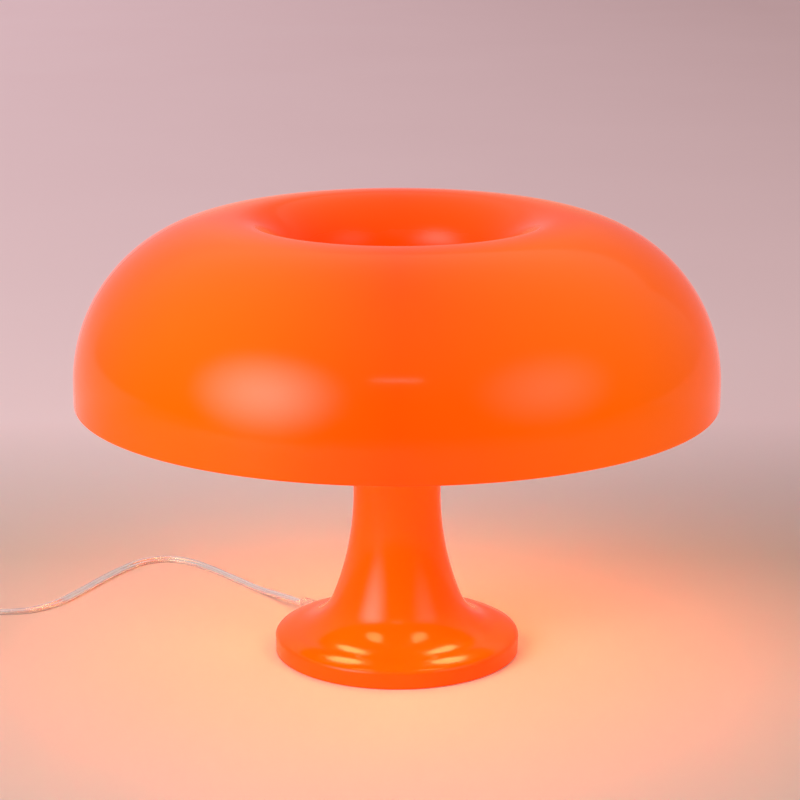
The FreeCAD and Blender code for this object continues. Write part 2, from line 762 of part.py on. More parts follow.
def make_base_inside():
    """The cover, its foot ring and screws, and the ballast."""
    cover_radius = s.base_radius - s.base_wall - s.cover_gap
    cover = turned("base_cover", disc_outline(cover_radius, s.foot_height, cover_top))
    sink = new_sketch(cover, "screw_hole_outline", "XY_Plane", s.foot_height, 180)
    circle(sink, boss_circle, 0, s.screw_head_radius + s.fit_gap)
    hole = pocket(cover, sink, "screw_hole", s.cover_thickness, backwards=True)
    polar(cover, "screw_holes", [hole], 3)
    node(cover, "base_cover", at_azimuth(s.cord_azimuth.value))

    pad_inner = foot_ring_outer - s.foot_ring_width
    pad_ring = ring_outline(foot_ring_outer, pad_inner, 0, s.foot_height)
    node(turned("foot_ring", pad_ring), "foot_ring")

    screws = []
    for i in range(3):
        head = rod(
            f"cover_screw_head_{i}", s.screw_head_radius, (0, 0, 0), s.cover_thickness
        )
        shank = rod(f"cover_screw_shank_{i}", s.screw_radius, (0, 0, 0), s.cover_screw_length)
        slot = block(
            f"cover_screw_slot_{i}",
            (0 - s.screw_head_radius, 0 - s.screw_radius / 4, 0 - s.cover_thickness),
            (s.screw_head_radius, s.screw_radius / 4, s.cover_thickness / 2),
        )
        solid = fused(f"cover_screw_solid_{i}", [head, shank])
        made = without(f"cover_screw_{i}", solid, [slot])
        azimuth = s.cord_azimuth.value + 180 + 120 * i
        made.Placement = at_azimuth(azimuth, x=boss_circle.value, z=s.foot_height.value)
        screws.append(made)
    node(group("cover_screw_group", screws), "cover_screws")

    clearance = s.cover_gap
    weight_radius = s.base_radius - s.base_wall - s.weight_inset
    hub_radius = weight_radius - s.weight_step
    hub_top = cover_top + s.weight_hub_height
    rim_top = (
        s.base_edge_height
        + (s.base_radius - weight_radius) * disc_slope
        - s.base_wall * 1.05
        - clearance
    )
    weight = turned(
        "base_weight",
        [
            (s.weight_bore, cover_top),
            (weight_radius, cover_top),
            (weight_radius, rim_top),
            (hub_radius + (hub_top - rim_top), rim_top),
            (hub_radius, hub_top),
            (s.weight_bore, hub_top),
        ],
    )
    boss_room = new_sketch(weight, "boss_room_outline", "XY_Plane", cover_top, 180)
    circle(boss_room, boss_circle, 0, s.boss_radius + clearance)
    room = pocket(weight, boss_room, "boss_room", s.weight_hub_height, backwards=True)
    polar(weight, "boss_rooms", [room], 3)
    channel = new_sketch(weight, "channel_outline", "XY_Plane", cover_top)
    half = s.notch_width / 2 + s.channel_gap
    polygon(
        channel,
        [
            (s.weight_bore / 2, 0 - half),
            (s.base_radius, 0 - half),
            (s.base_radius, half),
            (s.weight_bore / 2, half),
        ],
    )
    pocket(weight, channel, "cord_channel", s.weight_hub_height, backwards=True)
    node(weight, "base_weight", at_azimuth(s.cord_azimuth.value))


def make_cord_entry():
    """The grommet, the clamp, the terminal block and the lead between them."""
    there = at_azimuth(s.cord_azimuth.value)
    inner = s.base_radius - s.base_wall
    half = s.notch_width / 2
    flange = s.flange_thickness
    mouth = s.base_radius + s.sleeve_length
    bore = cord_radius + s.fit_gap
    neck = block(
        "grommet_neck",
        (inner - flange, 0 - half, cover_top),
        (s.base_radius, half, s.notch_top),
    )
    inside = block(
        "grommet_inside",
        (inner - flange - s.cover_gap, 0 - half - flange, cover_top),
        (inner - s.cover_gap, half + flange, s.notch_top - flange),
    )
    outside = block(
        "grommet_outside",
        (s.base_radius, 0 - half - flange, s.foot_height),
        (s.base_radius + flange, half + flange, s.notch_top + flange / 3),
    )
    sleeve = taper(
        "grommet_sleeve",
        cord_height - s.foot_height,
        cord_radius + s.sleeve_wall,
        (s.base_radius + flange, 0, cord_height),
        s.sleeve_length - flange,
        "x",
    )
    hole = rod("grommet_bore", bore, (inner / 2, 0, cord_height), s.base_radius, "x")
    solid = fused("grommet_solid", [neck, inside, outside, sleeve])
    node(without("cord_grommet", solid, [hole]), "cord_grommet", there)

    near = clamp_distance - s.clamp_length / 2
    far = clamp_distance + s.clamp_length / 2
    wide = s.clamp_width / 2
    top = cover_top + s.clamp_height
    bar = block("clamp_bar", (near, 0 - wide, cover_top), (far, wide, top))
    groove = rod("clamp_groove", bore, (0, 0, cord_height), far * 2, "x")
    gap = block("clamp_gap", (0, 0 - bore, 0), (far * 2, bore, cord_height))
    aside = (wide + bore) / 2
    sides = (("left", aside), ("right", 0 - aside))
    ends = [
        rod(f"clamp_hole_{side}", s.screw_radius + s.fit_gap, (clamp_distance, y, 0), top * 2)
        for side, y in sides
    ]
    node(without("cord_clamp", bar, [groove, gap] + ends), "cord_clamp", there)

    screws = []
    for side, y in sides:
        made = screw(
            f"clamp_screw_{side}",
            s.screw_radius,
            s.screw_head_radius,
            s.screw_head_height,
            s.clamp_height,
        )
        made.Placement = at_azimuth(
            s.cord_azimuth.value, clamp_distance.value, y.value, top.value
        )
        screws.append(made)
    node(group("clamp_screw_group", screws), "clamp_screws")

    start = s.block_offset - s.block_length / 2
    end = block_end
    side = s.block_width / 2
    roof = cover_top + s.block_height
    body = block("block_body", (start, 0 - side, cover_top), (end, side, roof))
    floor = roof - s.terminal_depth
    spots = [
        (f"{i}_{j}", x, y)
        for i, x in enumerate((start + s.terminal_inset, end - s.terminal_inset))
        for j, y in enumerate((0 - side / 2, side / 2))
    ]
    wells = [
        rod(f"block_well_{spot}", s.screw_radius * 1.2, (x, y, floor), s.terminal_depth * 2)
        for spot, x, y in spots
    ]
    node(without("terminal_block", body, wells), "terminal_block", there)
    heads = [
        rod(f"terminal_screw_{spot}", s.screw_radius, (x, y, floor), s.terminal_length)
        for spot, x, y in spots
    ]
    node(group("terminal_screw_group", heads), "terminal_screws", there)

    lead = rod("supply_lead", cord_radius, (0, 0, 0), mouth - end)
    along = FreeCAD.Placement(V(end.value, 0, cord_height.value), ALONG["x"])
    node(lead, "supply_lead", there.multiply(along))


def make_head_wires():
    """Four pairs of wires, from the terminal block up the stem to the holders."""
    bend = s.bracket_distance.value - s.wire_circle.value
    start, circle_radius = s.wire_start.value, s.wire_circle.value
    block_roof = (cover_top + s.block_height).value
    height = holder_height.value
    points = [
        V(start, 0, block_roof),
        V(start, 0, block_roof + s.wire_rise.value),
        V(circle_radius, 0, s.stem_top.value - s.wire_rise.value * 2),
        V(circle_radius, 0, height),
        V(s.bracket_distance.value + bend / 4, 0, height),
    ]
    path = rounded_route(points, [s.wire_bend.value, s.wire_bend.value, bend])
    one = swept(path, s.wire_radius.value)
    count = int(s.holder_count.value)
    copies = []
    for i in range(count):
        copy = one.copy()
        copy.rotate(V(), UP, s.holder_azimuth.value + i * 360 / count)
        copies.append(copy)
    wires = doc.addObject("Part::Feature", "head_wires")
    wires.Shape = Part.makeCompound(copies)
    node(wires, "head_wires")


# The stack on the axis


def make_nut(name, bottom):
    prism = doc.addObject("Part::Prism", name + "_hexagon")
    prism.Polygon = 6
    bind(prism, "Circumradius", s.nut_width / math.sqrt(3))
    bind(prism, "Height", s.nut_height)
    put(prism, 0, 0, bottom)
    hole = rod(name + "_hole", tube_hole, (0, 0, bottom - 1), s.nut_height + 2)
    node(without(name, prism, [hole]), name)


def make_washer(name, bottom, radius):
    outline = ring_outline(radius, tube_hole, bottom, bottom + s.washer_thickness)
    node(turned(name, outline), name)


def make_axis_stack():
    make_washer("stem_washer", lower_nut_top, s.washer_radius)
    make_nut("stem_nut", lower_nut_top - s.nut_height)
    tube = ring_outline(s.tube_radius, s.tube_bore, tube_bottom, tube_top)
    node(turned("threaded_tube", tube), "threaded_tube")
    make_washer("bracket_washer", bracket_top, s.washer_radius)
    make_nut("bracket_nut", upper_nut_bottom)
    pillar = ring_outline(s.pillar_radius, tube_hole, pillar_bottom, pillar_top)
    node(turned("shade_pillar", pillar), "shade_pillar")
    plate = ring_outline(s.plate_radius, tube_hole, pillar_top, plate_top)
    node(turned("support_plate", plate), "support_plate")
    seat = ring_outline(s.plate_radius, s.pillar_radius, plate_top, shade_underside)
    node(turned("seat_ring", seat), "seat_ring")


def make_bracket():
    """A steel plate with an upright tab for each lampholder."""
    body = new_body("holder_bracket")
    plate = new_sketch(body, "bracket_plate_outline", "XY_Plane", s.stem_top)
    half = s.bracket_distance
    polygon(plate, [(0 - half, 0 - half), (half, 0 - half), (half, half), (0 - half, half)])
    pad(body, plate, "bracket_plate", s.bracket_thickness)
    tab_outline = new_sketch(body, "tab_outline", "XY_Plane", s.stem_top)
    inner = s.bracket_distance - s.bracket_thickness
    wide = s.tab_width / 2
    polygon(tab_outline, [(inner, 0 - wide), (half, 0 - wide), (half, wide), (inner, wide)])
    tab_top = holder_height + s.tab_above
    tab = pad(body, tab_outline, "tab", tab_top - s.stem_top)
    window_outline = new_sketch(body, "window_outline", "YZ_Plane", inner - 1)
    circle(window_outline, 0, holder_height, s.wire_radius * 2)
    for y in (0 - screw_spread, screw_spread):
        circle(window_outline, y, holder_height, s.screw_radius + s.fit_gap)
    window = pocket(body, window_outline, "window", s.bracket_thickness + 2, backwards=True)
    wire_outline = new_sketch(body, "bracket_wire_outline", "XY_Plane", s.stem_top)
    circle(wire_outline, s.wire_circle, 0, s.wire_hole_radius)
    wire_hole = pocket(
        body, wire_outline, "bracket_wire_hole", s.bracket_thickness, backwards=True
    )
    polar(body, "tabs", [tab, window, wire_hole], s.holder_count)
    centre = new_sketch(body, "bracket_centre_outline", "XY_Plane", s.stem_top)
    circle(centre, 0, 0, tube_hole)
    pocket(body, centre, "bracket_centre", s.bracket_thickness, backwards=True)
    node(body, "holder_bracket", at_azimuth(s.holder_azimuth.value))


# Lampholders and bulbs. Each is drawn along its own Z axis, from the holder's back.

socket_floor = s.holder_length - s.socket_depth
shell_inner = s.cap_radius + s.shell_gap
shell_outer = shell_inner + s.shell_thickness
wire_bore = s.wire_radius * 2
contact_top = socket_floor + s.contact_height
cap_rim = contact_top + s.cap_length
globe_height = contact_top + s.bulb_length - s.globe_radius


def radial(azimuth):
    """Points a piece's own Z axis outwards, at the height of the holders."""
    turn = FreeCAD.Rotation(UP, azimuth)
    outward = FreeCAD.Rotation(V(0, 1, 0), 90)
    base = turn.multVec(V(s.bracket_distance.value, 0, holder_height.value))
    return FreeCAD.Placement(base, turn.multiply(outward))


def make_holder(name, place):
    bore = wire_bore
    back = s.holder_radius - s.holder_chamfer
    socket = shell_outer + s.fit_gap
    collar = s.holder_length - s.collar_length
    body = turned(
        name,
        [
            (bore, 0),
            (back, 0),
            (s.holder_radius, s.holder_chamfer),
            (s.holder_radius, collar - s.holder_collar),
            (collar_radius, collar),
            (collar_radius, s.holder_length),
            (socket, s.holder_length),
            (socket, socket_floor),
            (bore, socket_floor),
        ],
    )
    holes = new_sketch(body, name + "_screw_outline", "XY_Plane")
    for y in (0 - screw_spread, screw_spread):
        circle(holes, 0, y, s.screw_radius + s.fit_gap)
    depth = s.holder_screw_depth + s.drill_spare
    pocket(body, holes, name + "_screw_holes", depth, backwards=True)
    node(body, name, place)


def make_glass(name, place):
    """A hollow globe on a neck, open at the bottom of the neck."""
    body = new_body(name)
    sketch = new_sketch(body, name + "_outline", "XZ_Plane")
    wall = s.glass_wall.value
    neck = s.cap_radius - s.cap_wall - 0.1
    bottom = contact_top + s.cap_shoulder + s.glass_wall * 2
    globe, curve = s.globe_radius.value, s.neck_curve.value
    middle = globe_height.value
    drop = math.sqrt((globe + curve) ** 2 - (neck.value + curve) ** 2)
    bend = (neck.value + curve, middle - drop)
    meet = math.degrees(math.atan2(drop, -bend[0]))
    low = bottom.value
    inner_neck = neck.value - wall
    outside = line(sketch, (neck.value, low), (neck.value, bend[1]))
    outer_bend = arc(sketch, bend, curve, meet, 180)
    outer_globe = arc(sketch, (0, middle), globe, meet - 180, 90)
    crown = line(sketch, (0, middle + globe), (0, middle + globe - wall))
    inner_globe = arc(sketch, (0, middle), globe - wall, meet - 180, 90)
    inner_bend = arc(sketch, bend, curve + wall, meet, 180)
    inside = line(sketch, (inner_neck, bend[1]), (inner_neck, low))
    mouth = line(sketch, (inner_neck, low), (neck.value, low))
    constrain(sketch, "Tangent", outside, 2, outer_bend, 2)
    constrain(sketch, "Tangent", outer_bend, 1, outer_globe, 1)
    constrain(sketch, "Coincident", outer_globe, 2, crown, 1)
    constrain(sketch, "Coincident", crown, 2, inner_globe, 2)
    constrain(sketch, "Tangent", inner_globe, 1, inner_bend, 1)
    constrain(sketch, "Tangent", inner_bend, 2, inside, 1)
    constrain(sketch, "Coincident", inside, 2, mouth, 1)
    constrain(sketch, "Coincident", mouth, 2, outside, 1)
    constrain(sketch, "Vertical", outside)
    constrain(sketch, "Vertical", inside)
    constrain(sketch, "Horizontal", mouth)
    constrain(sketch, "PointOnObject", crown, 1, -2)
    constrain(sketch, "PointOnObject", crown, 2, -2)
    constrain(sketch, "PointOnObject", outer_globe, 3, -2)
    constrain(sketch, "Coincident", outer_globe, 3, inner_globe, 3)
    constrain(sketch, "Coincident", outer_bend, 3, inner_bend, 3)
    constrain(sketch, "Radius", outer_globe, amount=s.globe_radius)
    constrain(sketch, "Radius", outer_bend, amount=s.neck_curve)
    constrain(sketch, "DistanceX", -1, 1, outside, 1, amount=neck)
    constrain(sketch, "DistanceY", -1, 1, outside, 1, amount=bottom)
    constrain(sketch, "DistanceY", -1, 1, outer_globe, 3, amount=globe_height)
    constrain(sketch, "DistanceY", crown, 2, crown, 1, amount=s.glass_wall)
    revolve(body, sketch, name + "_turned")
    node(body, name, place)


def make_bulb_cap(name, place):
    body = turned(
        name,
        [
            (0, contact_top),
            (s.contact_radius / 2, contact_top),
            (s.contact_radius * 0.75, contact_top + s.cap_shoulder / 5),
            (s.cap_radius - s.cap_wall, contact_top + s.cap_shoulder * 0.8),
            (s.cap_radius, contact_top + s.cap_shoulder),
            (s.cap_radius, cap_rim),
            (s.cap_radius - s.cap_wall, cap_rim),
            (s.cap_radius - s.cap_wall, contact_top + s.cap_shoulder + s.glass_wall),
            (0, contact_top + s.cap_shoulder + s.glass_wall),
        ],
    )
    node(body, name, place)


def make_lights():
    names = ["back_right", "back_left", "front_left", "front_right"]
    count = int(s.holder_count.value)
    contacts = []
    screws = []
    for i in range(count):
        azimuth = s.holder_azimuth.value + i * 360 / count
        place = radial(azimuth)
        where = names[i] if i < len(names) else str(i + 1)
        make_holder(f"lampholder_{where}", place)
        shell = turned(
            f"screw_shell_{where}",
            ring_outline(
                shell_outer,
                shell_inner,
                socket_floor + s.shell_thickness,
                s.holder_length - s.collar_length,
            ),
        )
        node(shell, f"screw_shell_{where}", place)
        make_bulb_cap(f"bulb_cap_{where}", place)
        make_glass(f"bulb_{where}", place)
        contact = rod(f"contact_{where}", s.contact_radius, (0, 0, 0), s.contact_height)
        on_floor = FreeCAD.Placement(V(0, 0, socket_floor.value), FreeCAD.Rotation())
        contact.Placement = place.multiply(on_floor)
        contacts.append(contact)
        for side, y in (("a", screw_spread.value), ("b", -screw_spread.value)):
            made = screw(
                f"holder_screw_{where}_{side}",
                s.screw_radius,
                s.screw_head_radius,
                s.screw_head_height,
                s.bracket_thickness + s.holder_screw_depth,
            )
            seat = FreeCAD.Placement(
                V(0, y, -s.bracket_thickness.value), FreeCAD.Rotation(V(1, 0, 0), 180)
            )
            made.Placement = place.multiply(seat)
            screws.append(made)
    node(group("contact_group", contacts), "centre_contacts")
    node(group("holder_screw_group", screws), "holder_screws")


# The shade and its knob


def make_shade():
    """A moulded shell: skirt, outer arch, lip and the well with its floor."""
    body = new_body("shade")
    sketch = new_sketch(body, "shade_outline", "XZ_Plane")
    wall, out, rim = s.shade_wall.value, s.shade_radius.value, rim_height.value
    arch, lip = s.arch_radius.value, s.lip_radius.value
    top, floor = shade_top.value, well_floor.value
    hole = (s.tube_radius + s.fit_gap * 4).value
    crest = out - arch
    arch_mid = (crest, top - arch)
    lip_mid = (crest, top - lip)
    bowl = s.bowl_radius.value
    bowl_mid = (crest - lip - bowl, top - lip)
    skirt = line(sketch, (out, rim), (out, arch_mid[1]))
    outer_arch = arc(sketch, arch_mid, arch, 0, 90)
    outer_lip = arc(sketch, lip_mid, lip, 90, 180)
    outer_bowl = arc(sketch, bowl_mid, bowl, 270, 360)
    floor_top = line(sketch, (bowl_mid[0], floor), (hole, floor))
    hole_wall = line(sketch, (hole, floor), (hole, floor - wall))
    floor_under = line(sketch, (hole, floor - wall), (bowl_mid[0], floor - wall))
    inner_bowl = arc(sketch, bowl_mid, bowl + wall, 270, 360)
    inner_lip = arc(sketch, lip_mid, lip - wall, 90, 180)
    inner_arch = arc(sketch, arch_mid, arch - wall, 0, 90)
    inner_skirt = line(sketch, (out - wall, arch_mid[1]), (out - wall, rim))
    rim_line = line(sketch, (out - wall, rim), (out, rim))
    constrain(sketch, "Tangent", skirt, 2, outer_arch, 1)
    constrain(sketch, "Tangent", outer_arch, 2, outer_lip, 1)
    constrain(sketch, "Tangent", outer_lip, 2, outer_bowl, 2)
    constrain(sketch, "Tangent", outer_bowl, 1, floor_top, 1)
    constrain(sketch, "Coincident", floor_top, 2, hole_wall, 1)
    constrain(sketch, "Coincident", hole_wall, 2, floor_under, 1)
    constrain(sketch, "Tangent", floor_under, 2, inner_bowl, 1)
    constrain(sketch, "Tangent", inner_bowl, 2, inner_lip, 2)
    constrain(sketch, "Tangent", inner_lip, 1, inner_arch, 2)
    constrain(sketch, "Tangent", inner_arch, 1, inner_skirt, 1)
    constrain(sketch, "Coincident", inner_skirt, 2, rim_line, 1)
    constrain(sketch, "Coincident", rim_line, 2, skirt, 1)
    for upright in (skirt, hole_wall, inner_skirt):
        constrain(sketch, "Vertical", upright)
    for flat in (floor_top, floor_under, rim_line):
        constrain(sketch, "Horizontal", flat)
    for outer, inner in (
        (outer_arch, inner_arch),
        (outer_lip, inner_lip),
        (outer_bowl, inner_bowl),
    ):
        constrain(sketch, "Coincident", outer, 3, inner, 3)
    constrain(sketch, "Vertical", outer_arch, 3, outer_arch, 2)
    constrain(sketch, "Horizontal", outer_lip, 3, outer_lip, 2)
    constrain(sketch, "DistanceX", -1, 1, skirt, 1, amount=s.shade_radius)
    constrain(sketch, "DistanceY", -1, 1, skirt, 1, amount=rim_height)
    constrain(sketch, "Radius", outer_arch, amount=s.arch_radius)
    constrain(sketch, "DistanceY", -1, 1, outer_arch, 2, amount=shade_top)
    constrain(sketch, "Radius", outer_lip, amount=s.lip_radius)
    constrain(sketch, "DistanceY", -1, 1, floor_top, 2, amount=well_floor)
    constrain(sketch, "DistanceY", hole_wall, 2, hole_wall, 1, amount=s.shade_wall)
    constrain(sketch, "DistanceX", -1, 1, hole_wall, 1, amount=s.tube_radius + s.fit_gap * 4)
    revolve(body, sketch, "shade_turned")

    def rim_edge(found):
        return found.Curve.TypeId == "Part::GeomCircle" and abs(found.CenterOfMass.z - rim) < 1e-3

    fillet(body, "rim_rounding", s.rim_rounding, rim_edge)
    node(body, "shade")


def make_knob():
    """A domed thumb nut with grip flutes, over a washer."""
    make_washer("knob_washer", well_floor, s.knob_radius * 1.08)
    top = knob_bottom + s.knob_height
    bore_top = tube_top + s.knob_dome / 5
    body = turned(
        "shade_knob",
        [
            (tube_hole, knob_bottom),
            (s.knob_radius - s.flute_radius, knob_bottom),
            (s.knob_radius, knob_bottom + s.flute_radius),
            (s.knob_radius, top - s.knob_dome),
            (s.knob_radius - s.knob_dome * 0.3, top - s.knob_dome * 0.45),
            (s.knob_radius - s.knob_dome * 0.9, top - s.knob_dome * 0.12),
            (0, top),
            (0, bore_top),
            (tube_hole, bore_top),
        ],
    )
    flute_outline = new_sketch(body, "flute_outline", "XY_Plane", knob_bottom)
    circle(flute_outline, s.knob_radius + s.flute_radius / 3, 0, s.flute_radius)
    flute = pocket(body, flute_outline, "flute", s.knob_height - s.knob_dome * 0.8, backwards=True)
    polar(body, "flutes", [flute], s.knob_flutes)
    node(body, "shade_knob")


# The in-line switch, drawn about its own middle with the cord along X

switch_turn = FreeCAD.Rotation(UP, -90)
cord_in_switch = s.switch_base_height - cord_radius / 2
pivot_height = switch_height - s.pivot_depth


def in_switch(x=0.0, y=0.0, z=0.0, rotation=None):
    place = FreeCAD.Placement(V(s.switch_x.value, s.switch_y.value, 0), switch_turn)
    return place.multiply(FreeCAD.Placement(V(x, y, z), rotation or FreeCAD.Rotation()))


def shell_solid(body, name, bottom, height, outer_z):
    """A rounded block, whose face at outer_z is the one with rounded edges."""
    outline = new_sketch(body, name + "_outline", "XY_Plane", bottom)
    long, wide = s.switch_length / 2, s.switch_width / 2
    polygon(outline, [(0 - long, 0 - wide), (long, 0 - wide), (long, wide), (0 - long, wide)])
    pad(body, outline, name + "_pad", height)
    fillet(
        body,
        name + "_corners",
        s.switch_corner,
        lambda e: abs(e.BoundBox.ZLength - height.value) < 1e-3 and e.BoundBox.XLength < 1e-3,
    )
    fillet(
        body,
        name + "_edges",
        s.switch_edge,
        lambda e: e.BoundBox.ZLength < 1e-3 and abs(e.CenterOfMass.z - outer_z.value) < 1e-3,
    )


def shell_cavity(body, name, start, depth):
    long = s.switch_length / 2 - s.switch_wall
    wide = s.switch_width / 2 - s.switch_wall
    outline = new_sketch(body, name + "_cavity_outline", "XY_Plane", start)
    polygon(outline, [(0 - long, 0 - wide), (long, 0 - wide), (long, wide), (0 - long, wide)])
    cavity = pocket(body, outline, name + "_cavity", depth, backwards=True)
    fillet(
        body,
        name + "_cavity_corners",
        s.switch_corner - s.switch_wall,
        lambda e: abs(e.BoundBox.ZLength - depth.value) < 1e-3
        and e.BoundBox.XLength < 1e-3
        and abs(abs(e.CenterOfMass.x) - long.value) < 1e-3,
    )
    return cavity


def cord_channels(body, name):
    """The two round openings for the cord, half in each shell."""
    outline = new_sketch(body, name + "_entry_outline", "YZ_Plane")
    circle(outline, 0, cord_in_switch, cord_radius + s.fit_gap)
    pocket(body, outline, name + "_entries", s.switch_length * 2, midplane=True)


def make_switch():
    spread = s.switch_length / 2 - s.switch_corner
    aside = s.switch_width / 2 - s.switch_screw_inset
    post = s.switch_screw_radius + s.post_wall
    make_switch_base(spread, aside, post)
    make_switch_cover(spread, aside, post)
    make_rocker()
    terminals = []
    place = spread - s.switch_terminal_inset
    half = s.switch_terminal_length / 2
    low_side = s.switch_wall + s.switch_terminal_gap - s.switch_width / 2
    for side, x in (("near", 0 - place), ("far", place)):
        terminals.append(
            block(
                f"switch_terminal_{side}",
                (x - half, low_side, s.switch_wall),
                (
                    x + half,
                    low_side + s.switch_terminal_width,
                    s.switch_wall + s.switch_terminal_height,
                ),
            )
        )
    node(group("switch_terminal_group", terminals), "switch_terminals", in_switch())
    screws = []
    from_below = FreeCAD.Rotation(V(1, 0, 0), 180)
    for side, x in (("near", 0 - spread), ("far", spread)):
        length = s.switch_base_height + s.switch_cover_height / 2 - s.switch_wall
        made = screw(
            f"switch_screw_{side}",
            s.switch_screw_radius,
            s.switch_screw_head,
            s.switch_wall - s.head_gap,
            length,
        )
        made.Placement = in_switch(x.value, aside.value, s.switch_wall.value, from_below)
        screws.append(made)
    node(group("switch_screw_group", screws), "switch_screws")


def post_circles(body, name, height, spread, aside, radius):
    """A sketch with a circle at each of the switch's two screws."""
    sketch = new_sketch(body, name, "XY_Plane", height)
    for x in (0 - spread, spread):
        circle(sketch, x, aside, radius)
    return sketch


def make_switch_base(spread, aside, post):
    body = new_body("switch_base")
    shell_solid(body, "switch_base", NOTHING, s.switch_base_height, NOTHING)
    shell_cavity(body, "switch_base", s.switch_wall, s.switch_base_height - s.switch_wall)
    posts = post_circles(body, "base_post_outline", s.switch_wall / 2, spread, aside, post)
    pad(body, posts, "base_posts", s.switch_base_height - s.switch_wall / 2)
    bore = s.switch_screw_radius + s.fit_gap
    holes = post_circles(body, "base_screw_outline", NOTHING, spread, aside, bore)
    pocket(body, holes, "base_screw_holes", s.switch_base_height, backwards=True)
    sink = s.switch_screw_head + s.head_gap
    heads = post_circles(body, "base_head_outline", NOTHING, spread, aside, sink)
    pocket(body, heads, "base_head_holes", s.switch_wall, backwards=True)
    cord_channels(body, "switch_base")
    node(body, "switch_base", in_switch())


def make_switch_cover(spread, aside, post):
    body = new_body("switch_cover")
    low = s.switch_base_height
    shell_solid(body, "switch_cover", low, s.switch_cover_height, switch_height)
    shell_cavity(body, "switch_cover", low, s.switch_cover_height - s.switch_wall)
    posts = post_circles(body, "cover_post_outline", low, spread, aside, post)
    pad(body, posts, "cover_posts", s.switch_cover_height - s.switch_wall / 2)
    bore = s.switch_screw_radius + s.fit_gap
    holes = post_circles(body, "cover_screw_outline", low, spread, aside, bore)
    depth = s.switch_cover_height / 2 + s.drill_spare
    pocket(body, holes, "cover_screw_holes", depth, backwards=True)
    ribs = new_sketch(body, "rib_outline", "XY_Plane", switch_height - s.switch_wall / 2)
    near = s.rocker_width / 2 + s.rocker_gap
    far = near + s.trunnion_length + s.rib_wall
    half = s.trunnion_radius + s.rib_side
    for one, other in ((near, far), (0 - far, 0 - near)):
        polygon(ribs, [(0 - half, one), (half, one), (half, other), (0 - half, other)])
    pad(body, ribs, "ribs", s.pivot_depth + s.trunnion_radius, backwards=True)
    bearing = new_sketch(body, "bearing_outline", "XZ_Plane")
    circle(bearing, 0, pivot_height, s.trunnion_radius + s.fit_gap)
    pocket(body, bearing, "bearings", (near + s.trunnion_length) * 2, midplane=True)
    opening = new_sketch(body, "opening_outline", "XY_Plane", switch_height - s.switch_wall)
    reach = s.rocker_reach + s.rocker_gap
    polygon(opening, [(0 - reach, 0 - near), (reach, 0 - near), (reach, near), (0 - reach, near)])
    pocket(body, opening, "rocker_opening", s.switch_wall, backwards=True)
    cord_channels(body, "switch_cover")
    node(body, "switch_cover", in_switch())


def make_rocker():
    """A shallow V on stub axles, whose ends are round about the pivot."""
    body = new_body("switch_rocker")
    crown = s.pivot_depth + s.rocker_rise
    steep = s.rocker_tilt + arcsine(crown * cosine(s.rocker_tilt) / s.rocker_reach)
    corner_x = s.rocker_reach * cosine(steep)
    corner_z = s.rocker_reach * sine(steep)
    side_z = s.rocker_depth / 2
    dip = arcsine(side_z / s.rocker_reach)
    side_x = s.rocker_reach * cosine(dip)
    toe = s.rocker_reach / 3
    sketch = new_sketch(body, "rocker_outline", "XZ_Plane")
    corners = [
        (corner_x, corner_z),
        (0, crown),
        (0 - corner_x, corner_z),
        (0 - side_x, 0 - side_z),
        (0 - toe, 0 - s.rocker_depth),
        (toe, 0 - s.rocker_depth),
        (side_x, 0 - side_z),
    ]
    points = [(value_of(x), value_of(z)) for x, z in corners]
    reach = s.rocker_reach.value
    edges = [
        line(sketch, points[0], points[1]),
        line(sketch, points[1], points[2]),
        arc(sketch, (0, 0), reach, 180 - steep.value, 180 + dip.value),
        line(sketch, points[3], points[4]),
        line(sketch, points[4], points[5]),
        line(sketch, points[5], points[6]),
        arc(sketch, (0, 0), reach, -dip.value, steep.value),
    ]
    for here, there in zip(edges, edges[1:] + edges[:1]):
        constrain(sketch, "Coincident", here, 2, there, 1)
    for i in (1, 4, 5):
        pin_point(sketch, edges[i], 1, *corners[i])
    for curve in (edges[2], edges[6]):
        constrain(sketch, "Coincident", curve, 3, -1, 1)
        constrain(sketch, "Radius", curve, amount=s.rocker_reach)
    for top in (edges[0], edges[2]):
        constrain(sketch, "DistanceY", -1, 1, top, 1, amount=corner_z)
    constrain(sketch, "DistanceY", edges[3], 1, -1, 1, amount=side_z)
    constrain(sketch, "DistanceY", edges[6], 1, -1, 1, amount=side_z)
    pad(body, sketch, "rocker_pad", s.rocker_width, midplane=True)
    axle = new_sketch(body, "axle_outline", "XZ_Plane")
    circle(axle, 0, 0, s.trunnion_radius)
    pad(body, axle, "axle", s.rocker_width + s.trunnion_length * 2, midplane=True)
    rest = FreeCAD.Rotation(V(0, 1, 0), s.rocker_tilt.value)
    node(body, "switch_rocker", in_switch(z=pivot_height.value, rotation=rest))


# The coil of put-away cord


def coil_point(turns):
    """The coil's centreline after a number of turns: in, up a layer, and out."""
    inwards = COIL_TURNS_PER_LAYER
    pitch = turn_pitch.value
    inner = s.coil_inner.value
    low, high = cord_radius.value, coil_top_layer.value
    if turns <= inwards:
        radius = inner + pitch * (inwards - turns)
        height = low
    elif turns < inwards + 0.5:
        part = (turns - inwards) / 0.5
        radius = inner - pitch / (2 * math.pi) * math.sin(math.pi * part)
        height = low + (high - low) * (part - math.sin(2 * math.pi * part) / (2 * math.pi))
    else:
        radius = inner + pitch * (turns - inwards - 0.5)
        height = high
    angle = math.radians(COIL_START_ANGLE - 360 * turns)
    return V(
        s.coil_x.value + radius * math.cos(angle),
        s.coil_y.value + radius * math.sin(angle),
        height,
    )


